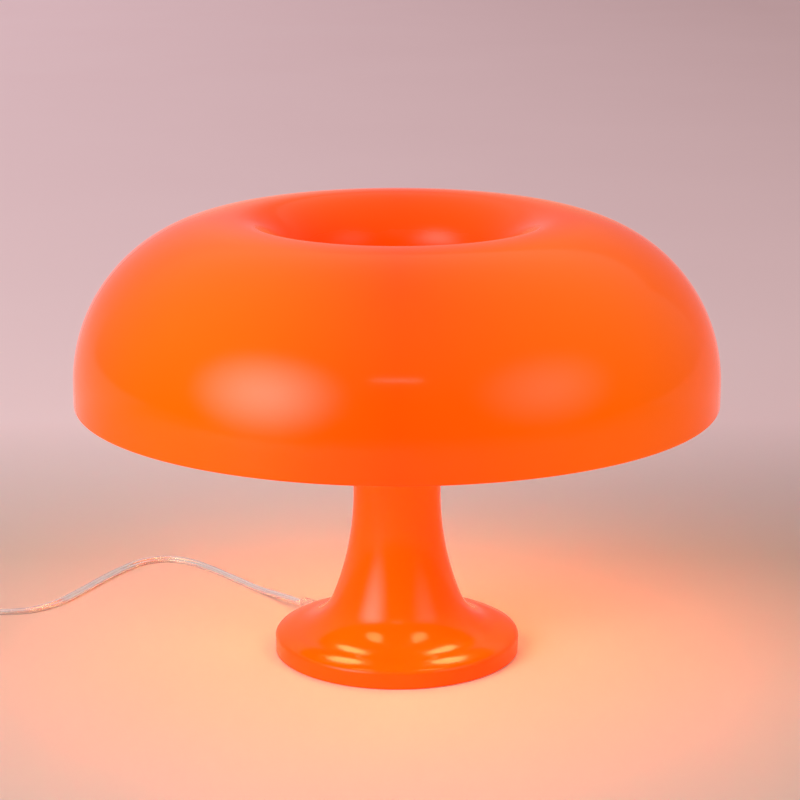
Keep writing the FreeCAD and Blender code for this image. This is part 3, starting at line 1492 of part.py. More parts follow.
def coil_heading(turns):
    step = 1e-4
    total = 2 * COIL_TURNS_PER_LAYER + 0.5
    ahead = coil_point(min(turns + step, total))
    behind = coil_point(max(turns - step, 0))
    return (ahead - behind).normalize()


def biarc(start, start_heading, end, end_heading):
    """Two arcs that join two points with the headings that they have there."""
    across = end - start
    both = start_heading + end_heading
    spare = 2 * (1 - start_heading.dot(end_heading))
    pull = across.dot(both)
    reach = (-pull + math.sqrt(pull**2 + spare * across.dot(across))) / spare
    first_corner = start + start_heading * reach
    last_corner = end - end_heading * reach
    middle = (first_corner + last_corner) / 2
    return [
        Part.Arc(start, arc_points(start, first_corner, middle), middle).toShape(),
        Part.Arc(middle, arc_points(middle, last_corner, end), end).toShape(),
    ]


def coil_stations():
    """Where the biarcs of the coil begin and end, in turns."""
    layer = [COIL_TURNS_PER_LAYER * i / PIECES_PER_LAYER for i in range(PIECES_PER_LAYER + 1)]
    climb = [COIL_TURNS_PER_LAYER + 0.25]
    return layer + climb + [COIL_TURNS_PER_LAYER + 0.5 + turns for turns in layer]


def straight_end():
    """The coil's ends run straight for a little over one diameter."""
    return s.cord_width.value * 1.1


def coil_ends():
    total = 2 * COIL_TURNS_PER_LAYER + 0.5
    first = coil_point(0) - coil_heading(0) * straight_end()
    last_heading = V(coil_heading(total).x, coil_heading(total).y, 0).normalize()
    last = coil_point(total) + last_heading * straight_end()
    return first, last, last_heading


def least_gap(path, diameter):
    """How near the tube comes to itself, measured on points of its centreline."""
    step = diameter / 3
    points = path.discretize(Distance=step)
    skip = int(3 * diameter / step)
    least = None
    for i in range(len(points)):
        for j in range(i + skip, len(points)):
            away = (points[i] - points[j]).Length
            if least is None or away < least:
                least = away
    return least - diameter


def make_coil():
    stations = coil_stations()
    first, last, _ = coil_ends()
    edges = [Part.LineSegment(first, coil_point(0)).toShape()]
    for here, there in zip(stations, stations[1:]):
        edges += biarc(
            coil_point(here), coil_heading(here), coil_point(there), coil_heading(there)
        )
    edges.append(Part.LineSegment(coil_point(stations[-1]), last).toShape())
    path = Part.Wire(edges)
    gap = least_gap(path, s.cord_width.value)
    print(f"cord_coil: least gap to itself {gap:.2f}")
    if gap < 0.4:
        raise RuntimeError("the coil's turns are too close")
    node(cord_solid("cord_coil", path, cord_radius.value), "cord_coil")


def make_free_cord():
    """The two stretches that aren't coiled."""
    mouth = at_azimuth(
        s.cord_azimuth.value, (s.base_radius + s.sleeve_length).value, 0, cord_height.value
    ).Base
    half = s.switch_length.value / 2 - s.cord_grip.value
    into = in_switch(x=-half, z=cord_in_switch.value).Base
    out_of = in_switch(x=half, z=cord_in_switch.value).Base
    lead = [mouth] + [V(*point) for point in LEAD_ROUTE] + [into]
    link = [out_of] + [V(*point) for point in LINK_ROUTE] + [coil_ends()[0]]
    for name, points in (("cord_lead", lead), ("cord_link", link)):
        radii = roomy_radii(points)
        print(name, "radii", [round(radius, 1) for radius in radii])
        path = rounded_route(points, radii)
        node(cord_solid(name, path, cord_radius.value), name)


def make_plug():
    """A flat two-pin plug with a tapered strain relief, drawn along +X."""
    _, last, heading = coil_ends()
    turn = FreeCAD.Rotation(UP, math.degrees(math.atan2(heading.y, heading.x)))
    place = FreeCAD.Placement(last, turn)
    half = coil_top_layer
    face = s.plug_sleeve_length + s.plug_body_length
    wide = s.plug_width / 2
    neck = wide * s.plug_neck_share
    waist = wide * s.plug_waist_share
    body = new_body("plug_body")
    outline = new_sketch(body, "plug_outline", "XY_Plane")
    polygon(
        outline,
        [
            (s.plug_sleeve_length, 0 - neck),
            (s.plug_sleeve_length + s.plug_neck_length, 0 - waist),
            (face - s.plug_face_length, 0 - wide),
            (face, 0 - wide),
            (face, wide),
            (face - s.plug_face_length, wide),
            (s.plug_sleeve_length + s.plug_neck_length, waist),
            (s.plug_sleeve_length, neck),
        ],
    )
    pad(body, outline, "plug_pad", half * 2, midplane=True)
    fillet(
        body,
        "plug_edges",
        s.plug_rounding,
        lambda e: e.BoundBox.ZLength < 1e-3 and e.CenterOfMass.x < face.value - 1,
    )
    sleeve = new_sketch(body, "sleeve_outline", "XZ_Plane")
    deep = s.plug_sleeve_length + s.relief_overlap
    thin, thick = cord_radius + s.relief_wall, cord_radius + s.relief_root
    polygon(sleeve, [(0, 0), (0, thin), (deep, thick), (deep, 0)])
    turned_sleeve = feature(body, "Revolution", "sleeve", sleeve)
    turned_sleeve.ReferenceAxis = (sleeve, ["H_Axis"])
    turned_sleeve.Angle = 360
    holes = new_sketch(body, "pin_hole_outline", "YZ_Plane", face)
    for y in (0 - s.pin_spread, s.pin_spread):
        circle(holes, y, 0, s.pin_radius + s.fit_gap)
    pocket(body, holes, "pin_holes", s.pin_root)
    node(body, "plug_body", place)
    pins = []
    for name, y in (("near", 0 - s.pin_spread), ("far", s.pin_spread)):
        length = s.pin_root + s.pin_length - s.pin_tip
        shank = rod(f"pin_{name}", s.pin_radius, (face - s.pin_root, y, 0), length, "x")
        tip = taper(
            f"pin_tip_{name}",
            s.pin_radius,
            s.pin_radius * 0.6,
            (face + s.pin_length - s.pin_tip, y, 0),
            s.pin_tip,
            "x",
        )
        pins.append(fused(f"pin_solid_{name}", [shank, tip]))
    node(group("pin_group", pins), "plug_pins", place)


def check_and_write():
    """Stops unless every object and every piece is sound, then writes them."""
    doc.recompute()
    bad = [thing.Name for thing in doc.Objects if {"Invalid", "Error"} & set(thing.State)]
    for thing in nodes:
        if thing.Shape.isNull() or not thing.Shape.isValid() or thing.Shape.Volume <= 0:
            bad.append(thing.Label)
    if bad:
        raise RuntimeError("not sound: " + ", ".join(bad))
    os.makedirs("parts", exist_ok=True)
    for thing in nodes:
        thing.Shape.exportStep(os.path.join("parts", thing.Label + ".step"))
    print(len(nodes), "nodes written")


make_base_body()
make_base_inside()
make_cord_entry()
make_head_wires()
make_axis_stack()
make_bracket()
make_lights()
make_shade()
make_knob()
make_switch()
make_free_cord()
make_coil()
make_plug()
check_and_write()
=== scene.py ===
import math

import bpy
from mathutils import Matrix, Vector


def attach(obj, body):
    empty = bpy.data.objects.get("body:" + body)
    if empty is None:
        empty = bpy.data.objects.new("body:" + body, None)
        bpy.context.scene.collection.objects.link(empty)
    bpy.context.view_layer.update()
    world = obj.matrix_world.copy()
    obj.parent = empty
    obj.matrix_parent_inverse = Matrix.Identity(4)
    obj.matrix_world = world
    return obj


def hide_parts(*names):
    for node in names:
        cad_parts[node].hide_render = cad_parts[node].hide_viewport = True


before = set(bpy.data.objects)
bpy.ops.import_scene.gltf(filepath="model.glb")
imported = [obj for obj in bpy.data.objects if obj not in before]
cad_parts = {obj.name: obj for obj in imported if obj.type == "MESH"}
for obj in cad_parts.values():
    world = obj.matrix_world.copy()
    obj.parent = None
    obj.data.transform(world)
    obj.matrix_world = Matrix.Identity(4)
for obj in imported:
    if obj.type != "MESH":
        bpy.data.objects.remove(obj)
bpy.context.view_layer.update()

# A table lamp, in metres. Shapes that are given in millimetres are scaled by MM.
# The lamp's axis is Z, the floor is z = 0 and the camera is on the -Y side.

MM = 0.001
BULB_MIDDLE = (0.0614, 0.0614, 0.155)  # of the bulb on the +X +Y side; the others mirror it
LIGHT_TARGET = (0.0, 0.0, 0.18)  # the middle of the shade
LIGHT_DISTANCE = 1.4  # from there to the nearest lights
LIGHT_STEP = 0.01  # between the ellipses of a soft light


# Camera, floor and lights


def aim(thing, target):
    """Turns an object so that its -Z axis points at a place."""
    away = Vector(target) - thing.location
    thing.rotation_euler = away.to_track_quat("-Z", "Y").to_euler()


def add_camera():
    data = bpy.data.cameras.new("camera")
    data.sensor_width = 36.0
    data.lens = 109.61
    data.shift_x = 0.00375
    camera = bpy.data.objects.new("camera", data)
    camera.location = (0.0, -1.1782, 0.4319)
    camera.rotation_euler = (math.radians(75.64), 0.0, 0.0)
    bpy.context.collection.objects.link(camera)
    bpy.context.scene.camera = camera


def add_area_light(name, azimuth, elevation, distance, size, radiance, shape="ELLIPSE"):
    """A light seen from the shade in a direction, azimuth from -Y to +X."""
    width, height = size
    middle = Vector(LIGHT_TARGET)
    turn, rise = math.radians(azimuth), math.radians(elevation)
    towards = Vector(
        (math.sin(turn) * math.cos(rise), -math.cos(turn) * math.cos(rise), math.sin(rise))
    )
    data = bpy.data.lights.new(name, "AREA")
    data.shape = shape
    data.size = width
    data.size_y = height
    fill = 1.0 if shape == "RECTANGLE" else math.pi / 4
    data.energy = radiance * math.pi * width * height * fill
    data.color = (1.0, 0.95, 0.93)
    light = bpy.data.objects.new(name, data)
    light.location = middle + towards * distance
    aim(light, middle)
    bpy.context.collection.objects.link(light)


def add_soft_light(name, azimuth, elevation, size, radiance):
    """Ellipses behind one another, so that the light fades towards its edge."""
    count = 8
    for i in range(count):
        scale = (count - i - 0.5) / count
        share = 6 * scale * (1 - scale) / count
        distance = LIGHT_DISTANCE + LIGHT_STEP * i
        light_size = (size[0] * scale, size[1] * scale)
        add_area_light(
            f"{name}_{i}", azimuth, elevation, distance, light_size, radiance * share
        )


def add_lights():
    add_soft_light("light_left", -46, 19, (1.60, 1.45), 10.0)
    add_soft_light("light_right", 53, 20, (1.50, 1.25), 2.5)
    add_area_light("light_strip", 0, 34, LIGHT_DISTANCE, (0.36, 0.010), 22.0, "RECTANGLE")


def map_range(tree, factor, low, high, start, end):
    """Maps the range from start to end to the range from low to high."""
    made = tree.nodes.new("ShaderNodeMapRange")
    for key, value in (
        ("From Min", start), ("From Max", end), ("To Min", low), ("To Max", high),
    ):
        made.inputs[key].default_value = value
    tree.links.new(factor, made.inputs["Value"])
    return made.outputs["Result"]


def add_world():
    """A dim room, a little brighter above and behind the lamp than in front."""
    world = bpy.data.worlds.new("studio")
    world.use_nodes = True
    tree = world.node_tree
    direction = tree.nodes.new("ShaderNodeTexCoord").outputs["Generated"]
    facing = tree.nodes.new("ShaderNodeVectorMath")
    facing.operation = "DOT_PRODUCT"
    facing.inputs[1].default_value = (0.0, 0.35, 0.65)
    tree.links.new(direction, facing.inputs[0])
    level = map_range(tree, facing.outputs["Value"], 0.04, 0.56, -0.10, 0.70)
    glow = tree.nodes["Background"]
    glow.inputs["Color"].default_value = (1.0, 0.96, 0.97, 1.0)
    tree.links.new(level, glow.inputs["Strength"])
    bpy.context.scene.world = world


# Materials


class Finish:
    """A procedural material, built up node by node in the object's own space."""

    def __init__(self, name):
        self.made = bpy.data.materials.new(name)
        self.made.use_nodes = True
        self.tree = self.made.node_tree
        self.shader = self.tree.nodes["Principled BSDF"]
        self.place = self.add("ShaderNodeTexCoord").outputs["Object"]

    def add(self, kind, **settings):
        made = self.tree.nodes.new(kind)
        for key, value in settings.items():
            setattr(made, key, value)
        return made

    def link(self, source, target):
        self.tree.links.new(source, target)

    def set(self, **values):
        """Uniform values, by the shader's socket names with _ for spaces."""
        for key, value in values.items():
            self.shader.inputs[key.replace("_", " ")].default_value = value
        return self

    def stretched(self, scale):
        mapping = self.add("ShaderNodeMapping")
        mapping.inputs["Scale"].default_value = scale
        self.link(self.place, mapping.inputs["Vector"])
        return mapping.outputs["Vector"]

    def noise(self, scale, detail=3.0, where=None):
        cloud = self.add("ShaderNodeTexNoise")
        cloud.inputs["Scale"].default_value = scale
        cloud.inputs["Detail"].default_value = detail
        self.link(where or self.place, cloud.inputs["Vector"])
        return cloud.outputs["Fac"]

    def ramp(self, factor, stops):
        """A colour ramp from (position, colour) pairs."""
        made = self.add("ShaderNodeValToRGB")
        elements = made.color_ramp.elements
        while len(elements) < len(stops):
            elements.new(0.5)
        for element, (position, colour) in zip(elements, stops):
            element.position = position
            element.color = (*colour, 1.0)
        self.link(factor, made.inputs["Fac"])
        return made.outputs["Color"]

    def spread(self, factor, low, high, start=0.3, end=0.7):
        """Maps a range, by default a noise's usual one, to another range."""
        return map_range(self.tree, factor, low, high, start, end)

    def mottle(self, cloud, dark, light):
        """A noise's usual range as a mix of two colours."""
        return self.ramp(cloud, [(0.3, dark), (0.7, light)])

    def maths(self, operation, first, second):
        made = self.add("ShaderNodeMath", operation=operation)
        self.link(first, made.inputs[0])
        self.link(second, made.inputs[1])
        return made.outputs["Value"]

    def bump(self, height, strength, distance):
        made = self.add("ShaderNodeBump")
        made.inputs["Strength"].default_value = strength
        made.inputs["Distance"].default_value = distance
        self.link(height, made.inputs["Height"])
        self.link(made.outputs["Normal"], self.shader.inputs["Normal"])

    def colour(self, source):
        self.link(source, self.shader.inputs["Base Color"])

    def roughness(self, source):
        self.link(source, self.shader.inputs["Roughness"])

    def glow(self, source):
        self.link(source, self.shader.inputs["Emission Color"])


def shade_finish():
    """Orange plastic with a painted glow that stands in for the bulbs' light shining through it,
    yellower near a bulb and weaker in the well; the well is matt.
    """
    f = Finish("shade_plastic_look")
    cloud = f.noise(9.0, 4.0)
    f.colour(f.mottle(cloud, (0.88, 0.055, 0.000), (0.92, 0.068, 0.001)))
    # The absolute place folds the four bulbs onto one.
    folded = f.add("ShaderNodeVectorMath", operation="ABSOLUTE")
    f.link(f.place, folded.inputs[0])
    away = f.add("ShaderNodeVectorMath", operation="DISTANCE")
    away.inputs[1].default_value = BULB_MIDDLE
    f.link(folded.outputs["Vector"], away.inputs[0])
    near = f.spread(away.outputs["Value"], 1.0, 0.0, 60 * MM, 125 * MM)
    flat = f.add("ShaderNodeVectorMath", operation="LENGTH")
    f.link(f.stretched((1.0, 1.0, 0.0)), flat.inputs[0])
    outside = f.spread(flat.outputs["Value"], 0.0, 1.0, 50 * MM, 95 * MM)
    # Painted light: this emission stands in for the bulbs' light shining through the plastic,
    # strongest near a bulb and weaker in the well.
    lit = f.maths("MULTIPLY", near, outside)
    far_glow, mid_glow, near_glow = (0.48, 0.024, 0.0), (0.50, 0.047, 0.0), (0.52, 0.110, 0.0)
    f.glow(f.ramp(lit, [(0.0, far_glow), (0.4, mid_glow), (1.0, near_glow)]))
    haze = f.spread(f.noise(40.0, 4.0), 0.0, 0.04)
    matt_well = f.spread(flat.outputs["Value"], 0.50, 0.10, 42 * MM, 62 * MM)
    f.roughness(f.maths("ADD", haze, matt_well))
    return f.set(Emission_Strength=1.0, Specular_IOR_Level=0.2, IOR=1.5)


def base_finish():
    """Orange moulded plastic, glossy, with a faint painted glow that stands in for the bulbs'
    light falling on it.
    """
    f = Finish("base_plastic_look")
    cloud = f.noise(14.0, 4.0)
    f.colour(f.mottle(cloud, (0.93, 0.084, 0.000), (0.96, 0.098, 0.001)))
    f.roughness(f.spread(f.noise(60.0, 5.0), 0.12, 0.16))
    f.bump(f.noise(500.0, 2.0), 0.02, 0.1 * MM)
    # Painted light: a faint emission that stands in for the bulbs' light on the base.
    f.glow(f.mottle(cloud, (0.85, 0.050, 0.000), (0.85, 0.060, 0.000)))
    return f.set(Emission_Strength=0.35, Specular_IOR_Level=0.2, IOR=1.5)


def steel_finish():
    f = Finish("plated_steel_look")
    scratches = f.noise(90.0, 6.0, f.stretched((1.0, 12.0, 30.0)))
    f.colour(f.mottle(f.noise(25.0), (0.58, 0.58, 0.57), (0.70, 0.69, 0.67)))
    f.roughness(f.spread(scratches, 0.22, 0.42))
    f.bump(scratches, 0.08, 0.05 * MM)
    return f.set(Metallic=1.0)


def ballast_finish():
    f = Finish("ballast_look")
    grain = f.noise(350.0, 6.0)
    f.colour(f.mottle(grain, (0.05, 0.05, 0.055), (0.11, 0.105, 0.10)))
    f.roughness(f.spread(grain, 0.55, 0.75))
    f.bump(grain, 0.5, 0.3 * MM)
    return f.set(Metallic=0.3)


def rubber_finish():
    f = Finish("dark_rubber_look")
    grain = f.noise(600.0, 4.0)
    f.colour(f.mottle(f.noise(60.0), (0.022, 0.022, 0.023), (0.04, 0.039, 0.038)))
    f.roughness(f.spread(grain, 0.62, 0.82))
    f.bump(grain, 0.25, 0.1 * MM)
    return f.set(IOR=1.45)


def white_finish():
    """Semi-gloss moulded white plastic with a faint texture."""
    f = Finish("white_plastic_look")
    f.colour(f.mottle(f.noise(30.0), (0.70, 0.69, 0.66), (0.78, 0.77, 0.74)))
    grain = f.noise(900.0, 3.0)
    f.roughness(f.spread(grain, 0.30, 0.42))
    f.bump(grain, 0.08, 0.08 * MM)
    return f.set(IOR=1.46)


def holder_finish():
    """Matt, faintly mottled thermoset of the lampholders."""
    f = Finish("holder_plastic_look")
    f.colour(f.mottle(f.noise(120.0, 5.0), (0.60, 0.58, 0.54), (0.70, 0.68, 0.64)))
    grain = f.noise(500.0, 3.0)
    f.roughness(f.spread(grain, 0.42, 0.55))
    f.bump(grain, 0.12, 0.1 * MM)
    return f.set(IOR=1.5)


def brass_finish():
    f = Finish("contact_brass_look")
    f.colour(f.mottle(f.noise(80.0, 5.0), (0.66, 0.42, 0.14), (0.80, 0.56, 0.24)))
    f.roughness(f.spread(f.noise(200.0, 4.0), 0.22, 0.40))
    return f.set(Metallic=1.0)


def cap_finish():
    """The nickelled metal of the bulb caps."""
    f = Finish("cap_metal_look")
    f.colour(f.mottle(f.noise(70.0, 4.0), (0.66, 0.64, 0.60), (0.80, 0.78, 0.74)))
    f.roughness(f.spread(f.noise(160.0, 4.0), 0.18, 0.34))
    return f.set(Metallic=1.0)


def bulb_finish():
    """Opal glass, lit from inside."""
    f = Finish("bulb_glass_look")
    f.colour(f.mottle(f.noise(50.0), (0.88, 0.86, 0.82), (0.93, 0.91, 0.88)))
    f.glow(f.mottle(f.noise(18.0, 2.0), (1.0, 0.88, 0.30), (1.0, 0.91, 0.33)))
    f.roughness(f.spread(f.noise(90.0), 0.12, 0.20))
    return f.set(Emission_Strength=12.0, IOR=1.5)


def flex_finish():
    """Clear flexible PVC, hazy in places."""
    f = Finish("clear_flex_look")
    f.colour(f.mottle(f.noise(80.0), (0.95, 0.87, 0.84), (0.98, 0.92, 0.90)))
    f.roughness(f.spread(f.noise(120.0, 4.0), 0.06, 0.18))
    return f.set(Transmission_Weight=0.82, IOR=1.38)


def strand_finish(name, dark, light):
    """Twisted bare wires, seen through the jacket: stripes along the cord, whose dark bands are
    painted shade between the strands.
    """
    f = Finish(name)
    chart = f.add("ShaderNodeUVMap").outputs["UV"]
    stripes = f.add("ShaderNodeTexWave", bands_direction="DIAGONAL")
    stripes.inputs["Scale"].default_value = 6.0
    stripes.inputs["Distortion"].default_value = 0.6
    f.link(chart, stripes.inputs["Vector"])
    # The dark end of this ramp is painted shade in the grooves between the strands.
    f.colour(f.ramp(stripes.outputs["Fac"], [(0.0, dark), (0.8, light)]))
    f.roughness(f.spread(stripes.outputs["Fac"], 0.38, 0.24, 0.0, 1.0))
    f.bump(stripes.outputs["Fac"], 0.4, 0.1 * MM)
    return f.set(Metallic=0.5)


def floor_finish():
    """A plain pale floor, which goes over into a pale background whose glow has painted light,
    brighter on the left.
    """
    f = Finish("floor_look")
    parts = f.add("ShaderNodeSeparateXYZ")
    f.link(f.place, parts.inputs["Vector"])
    back = f.spread(parts.outputs["Y"], 0.12, 1.0, 0.15, 0.45)
    f.colour(f.mottle(f.noise(3.0), (0.58, 0.475, 0.43), (0.60, 0.495, 0.45)))
    ray = f.add("ShaderNodeLightPath").outputs
    seen = f.maths("MAXIMUM", ray["Is Camera Ray"], ray["Is Glossy Ray"])
    seen = f.maths("MAXIMUM", seen, ray["Is Transmission Ray"])
    f.link(f.maths("MULTIPLY", back, seen), f.shader.inputs["Emission Strength"])
    # Painted light: the background's glow is brighter on the left and darker on the right, as if
    # the left light fell off across it.
    across = f.spread(parts.outputs["X"], 0.0, 1.0, -0.7, 0.7)
    f.glow(f.ramp(across, [(0.0, (0.47, 0.30, 0.34)), (1.0, (0.28, 0.16, 0.18))]))
    f.roughness(f.spread(f.noise(12.0), 0.62, 0.70))
    return f.set(Specular_IOR_Level=0.2, IOR=1.4)


FINISHES = {
    "base_plastic": base_finish,
    "shade_plastic": shade_finish,
    "plated_steel": steel_finish,
    "ballast": ballast_finish,
    "dark_rubber": rubber_finish,
    "white_plastic": white_finish,
    "holder_plastic": holder_finish,
    "contact_brass": brass_finish,
    "cap_metal": cap_finish,
    "bulb_glass": bulb_finish,
    "clear_flex": flex_finish,
}
looks = {name: make().made for name, make in FINISHES.items()}


def repaint_frame():
    """Gives each CAD node the look of its material slot."""
    for name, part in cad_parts.items():
        for holder in part.material_slots:
            holder.material = looks[holder.material.name.split(".")[0]]


# Turned pieces


def arc(centre, radius, start, end, count):
    """Points of an arc in a profile, from angle start to angle end in degrees."""
    angles = [math.radians(start + (end - start) * i / count) for i in range(count + 1)]
    return [(centre[0] + radius * math.cos(a), centre[1] + radius * math.sin(a)) for a in angles]


def run(start, end, step):
    """Points between two points of a profile, both left out."""
    count = max(1, round(math.dist(start, end) / step))
    return [
        (start[0] + (end[0] - start[0]) * i / count, start[1] + (end[1] - start[1]) * i / count)
        for i in range(1, count)
    ]


def lathe(name, profile, segments, closed, placement=None):
    """A smooth mesh turned about Z from (radius, height) points in millimetres."""
    vertices, rings = [], []
    for radius, height in profile:
        if radius < 1e-6:
            rings.append([len(vertices)] * segments)
            vertices.append((0.0, 0.0, height * MM))
            continue
        rings.append(list(range(len(vertices), len(vertices) + segments)))
        for i in range(segments):
            turn = 2 * math.pi * i / segments
            vertices.append(
                (radius * math.cos(turn) * MM, radius * math.sin(turn) * MM, height * MM)
            )
    faces = []
    count = len(rings)
    for k in range(count if closed else count - 1):
        here, there = rings[k], rings[(k + 1) % count]
        for i in range(segments):
            j = (i + 1) % segments
            corners = [here[i], here[j], there[j], there[i]]
            face = list(dict.fromkeys(corners))
            if len(face) > 2:
                faces.append(face)
    mesh = bpy.data.meshes.new(name)
    mesh.from_pydata(vertices, [], faces)
    mesh.polygons.foreach_set("use_smooth", [True] * len(faces))
    if placement is not None:
        mesh.transform(placement)
    mesh.update()
    made = bpy.data.objects.new(name, mesh)
    bpy.context.collection.objects.link(made)
    return made


def finish_piece(piece, slot, body, *nodes):
    """Paints a piece, lets it ride on a body and stand for its CAD nodes."""
    if not piece.data.materials:
        piece.data.materials.append(looks[slot])
    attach(piece, body)
    if nodes:
        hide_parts(*nodes)


def make_shade():
    """The skirt and arch, the lip round the well, and the well's bowl and floor."""
    arch_middle, arch_radius = (80.0, 143.0), 80.0
    lip_middle, lip_radius = (80.0, 195.0), 28.0
    bowl_middle, bowl_radius = (35.5, 195.0), 16.5
    wall, rim, hole, edge = 3.0, 132.0, 5.2, 1.2
    out = arch_middle[0] + arch_radius
    floor = bowl_middle[1] - bowl_radius
    profile = arc((out - edge, rim + edge), edge, -90, 0, 5)
    profile += run(profile[-1], (out, arch_middle[1]), 2.0)
    profile += arc(arch_middle, arch_radius, 0, 90, 72)
    profile += arc(lip_middle, lip_radius, 90, 180, 30)[1:]
    profile += arc(bowl_middle, bowl_radius, 0, -90, 20)[1:]
    profile += run(profile[-1], (hole, floor), 4.0) + [(hole, floor), (hole, floor - wall)]
    profile += run((hole, floor - wall), (bowl_middle[0], floor - wall), 4.0)
    profile += arc(bowl_middle, bowl_radius + wall, -90, 0, 20)
    profile += arc(lip_middle, lip_radius - wall, 180, 90, 26)[1:]
    profile += arc(arch_middle, arch_radius - wall, 90, 0, 64)[1:]
    profile += run(profile[-1], (out - wall, rim + edge), 2.0)
    profile += arc((out - wall + edge, rim + edge), edge, 180, 270, 5)
    shade = lathe("shade_shell", profile, 256, True)
    finish_piece(shade, "shade_plastic", "shade", "shade")


def make_base():
    """The disc, flare and stem, with a softer edge and dome than the CAD solid."""
    low, rim, top = 0.3, 62.0, 136.0
    wall, corner, top_corner = 3.0, 0.2, 1.0
    edge_middle, edge_radius, edge_end = (59.401, 7.319), 2.6, 65.0
    crown_middle, crown_radius = (45.966, -21.502), 34.4
    small_middle, small_radius = (56.4, 37.68), 25.694
    big_middle, big_radius = (170.0, 83.0), 148.0
    foot, join = 80.0, 201.75
    inner_edge_height = 6.6
    hole, roof_ring = 5.05, 12.0
    stem = big_middle[0] - big_radius
    inside = stem - wall
    profile = arc((rim - corner, low + corner), corner, -90, 0, 3)
    profile += run(profile[-1], (rim, edge_middle[1]), 2.0)
    profile += arc(edge_middle, edge_radius, 0, edge_end, 10)
    profile += arc(crown_middle, crown_radius, edge_end, foot, 12)[1:]
    profile += arc(small_middle, small_radius, foot + 180, join, 20)[1:]
    profile += arc(big_middle, big_radius, join, 180, 40)[1:]
    profile += run(profile[-1], (stem, top - top_corner), 4.0)
    profile += arc((stem - top_corner, top - top_corner), top_corner, 0, 90, 4)
    profile += [(roof_ring, top), (hole, top), (hole, top - wall), (roof_ring, top - wall)]
    profile += [(inside, top - wall)] + run((inside, top - wall), (inside, big_middle[1]), 6.0)
    profile += arc(big_middle, big_radius + wall, 180, join, 24)
    profile += arc(small_middle, small_radius + wall, join, foot + 180, 12)[1:]
    profile += [(rim - wall, inner_edge_height), (rim - wall, low)]
    base = lathe("base_shell", profile, 192, True)
    finish_piece(base, "base_plastic", "lamp", "base_body")


def make_bulbs():
    """Four round bulbs that lie flat, at 45 degrees to the front."""
    reach, height = 19.0, 155.0
    neck, low = 6.4, 17.6
    globe_middle, globe_radius = (0.0, 67.9), 22.5
    bend_middle, bend_radius = (20.4, 37.63), 14.0
    meet = 124.0
    profile = [(neck, low)] + run((neck, low), (neck, bend_middle[1]), 4.0)
    profile += arc(bend_middle, bend_radius, 180, meet, 10)
    profile += arc(globe_middle, globe_radius, meet - 180, 90, 36)[1:]
    profile[-1] = (0.0, profile[-1][1])  # exactly on the axis
    for i, where in enumerate(("back_right", "back_left", "front_left", "front_right")):
        placement = (
            Matrix.Rotation(math.radians(45 + 90 * i), 4, "Z")
            @ Matrix.Translation((reach * MM, 0, height * MM))
            @ Matrix.Rotation(math.radians(90), 4, "Y")
        )
        bulb = lathe(f"glowing_{where}", profile, 64, False, placement)
        finish_piece(bulb, "bulb_glass", "lamp", f"bulb_{where}")


# The cord, from the base through the switch to the coil and the plug

MOUTH = (-49.516, 54.993, 4.5)
LEAD_ROUTE = [
    (-60.5, 67.2, 4.3),
    (-74.5, 85.2, 2.2),
    (-89.5, 104.8, 2.2),
    (-104.5, 122.6, 2.2),
    (-118.0, 135.0, 2.2),
    (-131.5, 139.6, 2.2),
    (-144.8, 133.6, 2.2),
    (-155.3, 118.3, 2.2),
    (-164.0, 101.3, 2.2),
    (-172.5, 82.0, 2.2),
    (-181.5, 63.8, 2.2),
    (-193.5, 51.0, 2.2),
    (-209.0, 48.8, 2.2),
    (-224.5, 49.6, 2.2),
    (-238.4, 43.8, 2.6),
    (-245.6, 32.0, 4.8),
    (-246.0, 20.0, 6.9),
]
THROUGH_SWITCH = [(-246.0, 7.5, 6.9), (-246.0, -38.5, 6.9)]
LINK_ROUTE = [
    (-246.0, -51.5, 6.9),
    (-245.8, -65.5, 4.6),
    (-239.0, -79.5, 2.2),
]
COIL_FIRST_END = (-230.317, -95.252, 2.2)
COIL_LAST_END = (-294.912, -112.546, 7.05)
COIL_MIDDLE = (-259.0, -117.4)
COIL_INNER = 15.8
COIL_PITCH = 4.95
COIL_TURNS_PER_LAYER = 4.0417
COIL_START_ANGLE = 30.0
COIL_POINTS_PER_TURN = 16
LAYER_HEIGHTS = (2.2, 7.05)
CORD_WIDTH = 4.4


def coil_point(turns):
    """The coil's line after a number of turns: in, up a layer, and out."""
    inwards = COIL_TURNS_PER_LAYER
    low, high = LAYER_HEIGHTS
    if turns <= inwards:
        radius = COIL_INNER + COIL_PITCH * (inwards - turns)
        height = low
    elif turns < inwards + 0.5:
        part = (turns - inwards) / 0.5
        radius = COIL_INNER - COIL_PITCH / (2 * math.pi) * math.sin(math.pi * part)
        height = low + (high - low) * (part - math.sin(2 * math.pi * part) / (2 * math.pi))
    else:
        radius = COIL_INNER + COIL_PITCH * (turns - inwards - 0.5)
        height = high
    angle = math.radians(COIL_START_ANGLE - 360 * turns)
    return (
        COIL_MIDDLE[0] + radius * math.cos(angle),
        COIL_MIDDLE[1] + radius * math.sin(angle),
        height,
    )


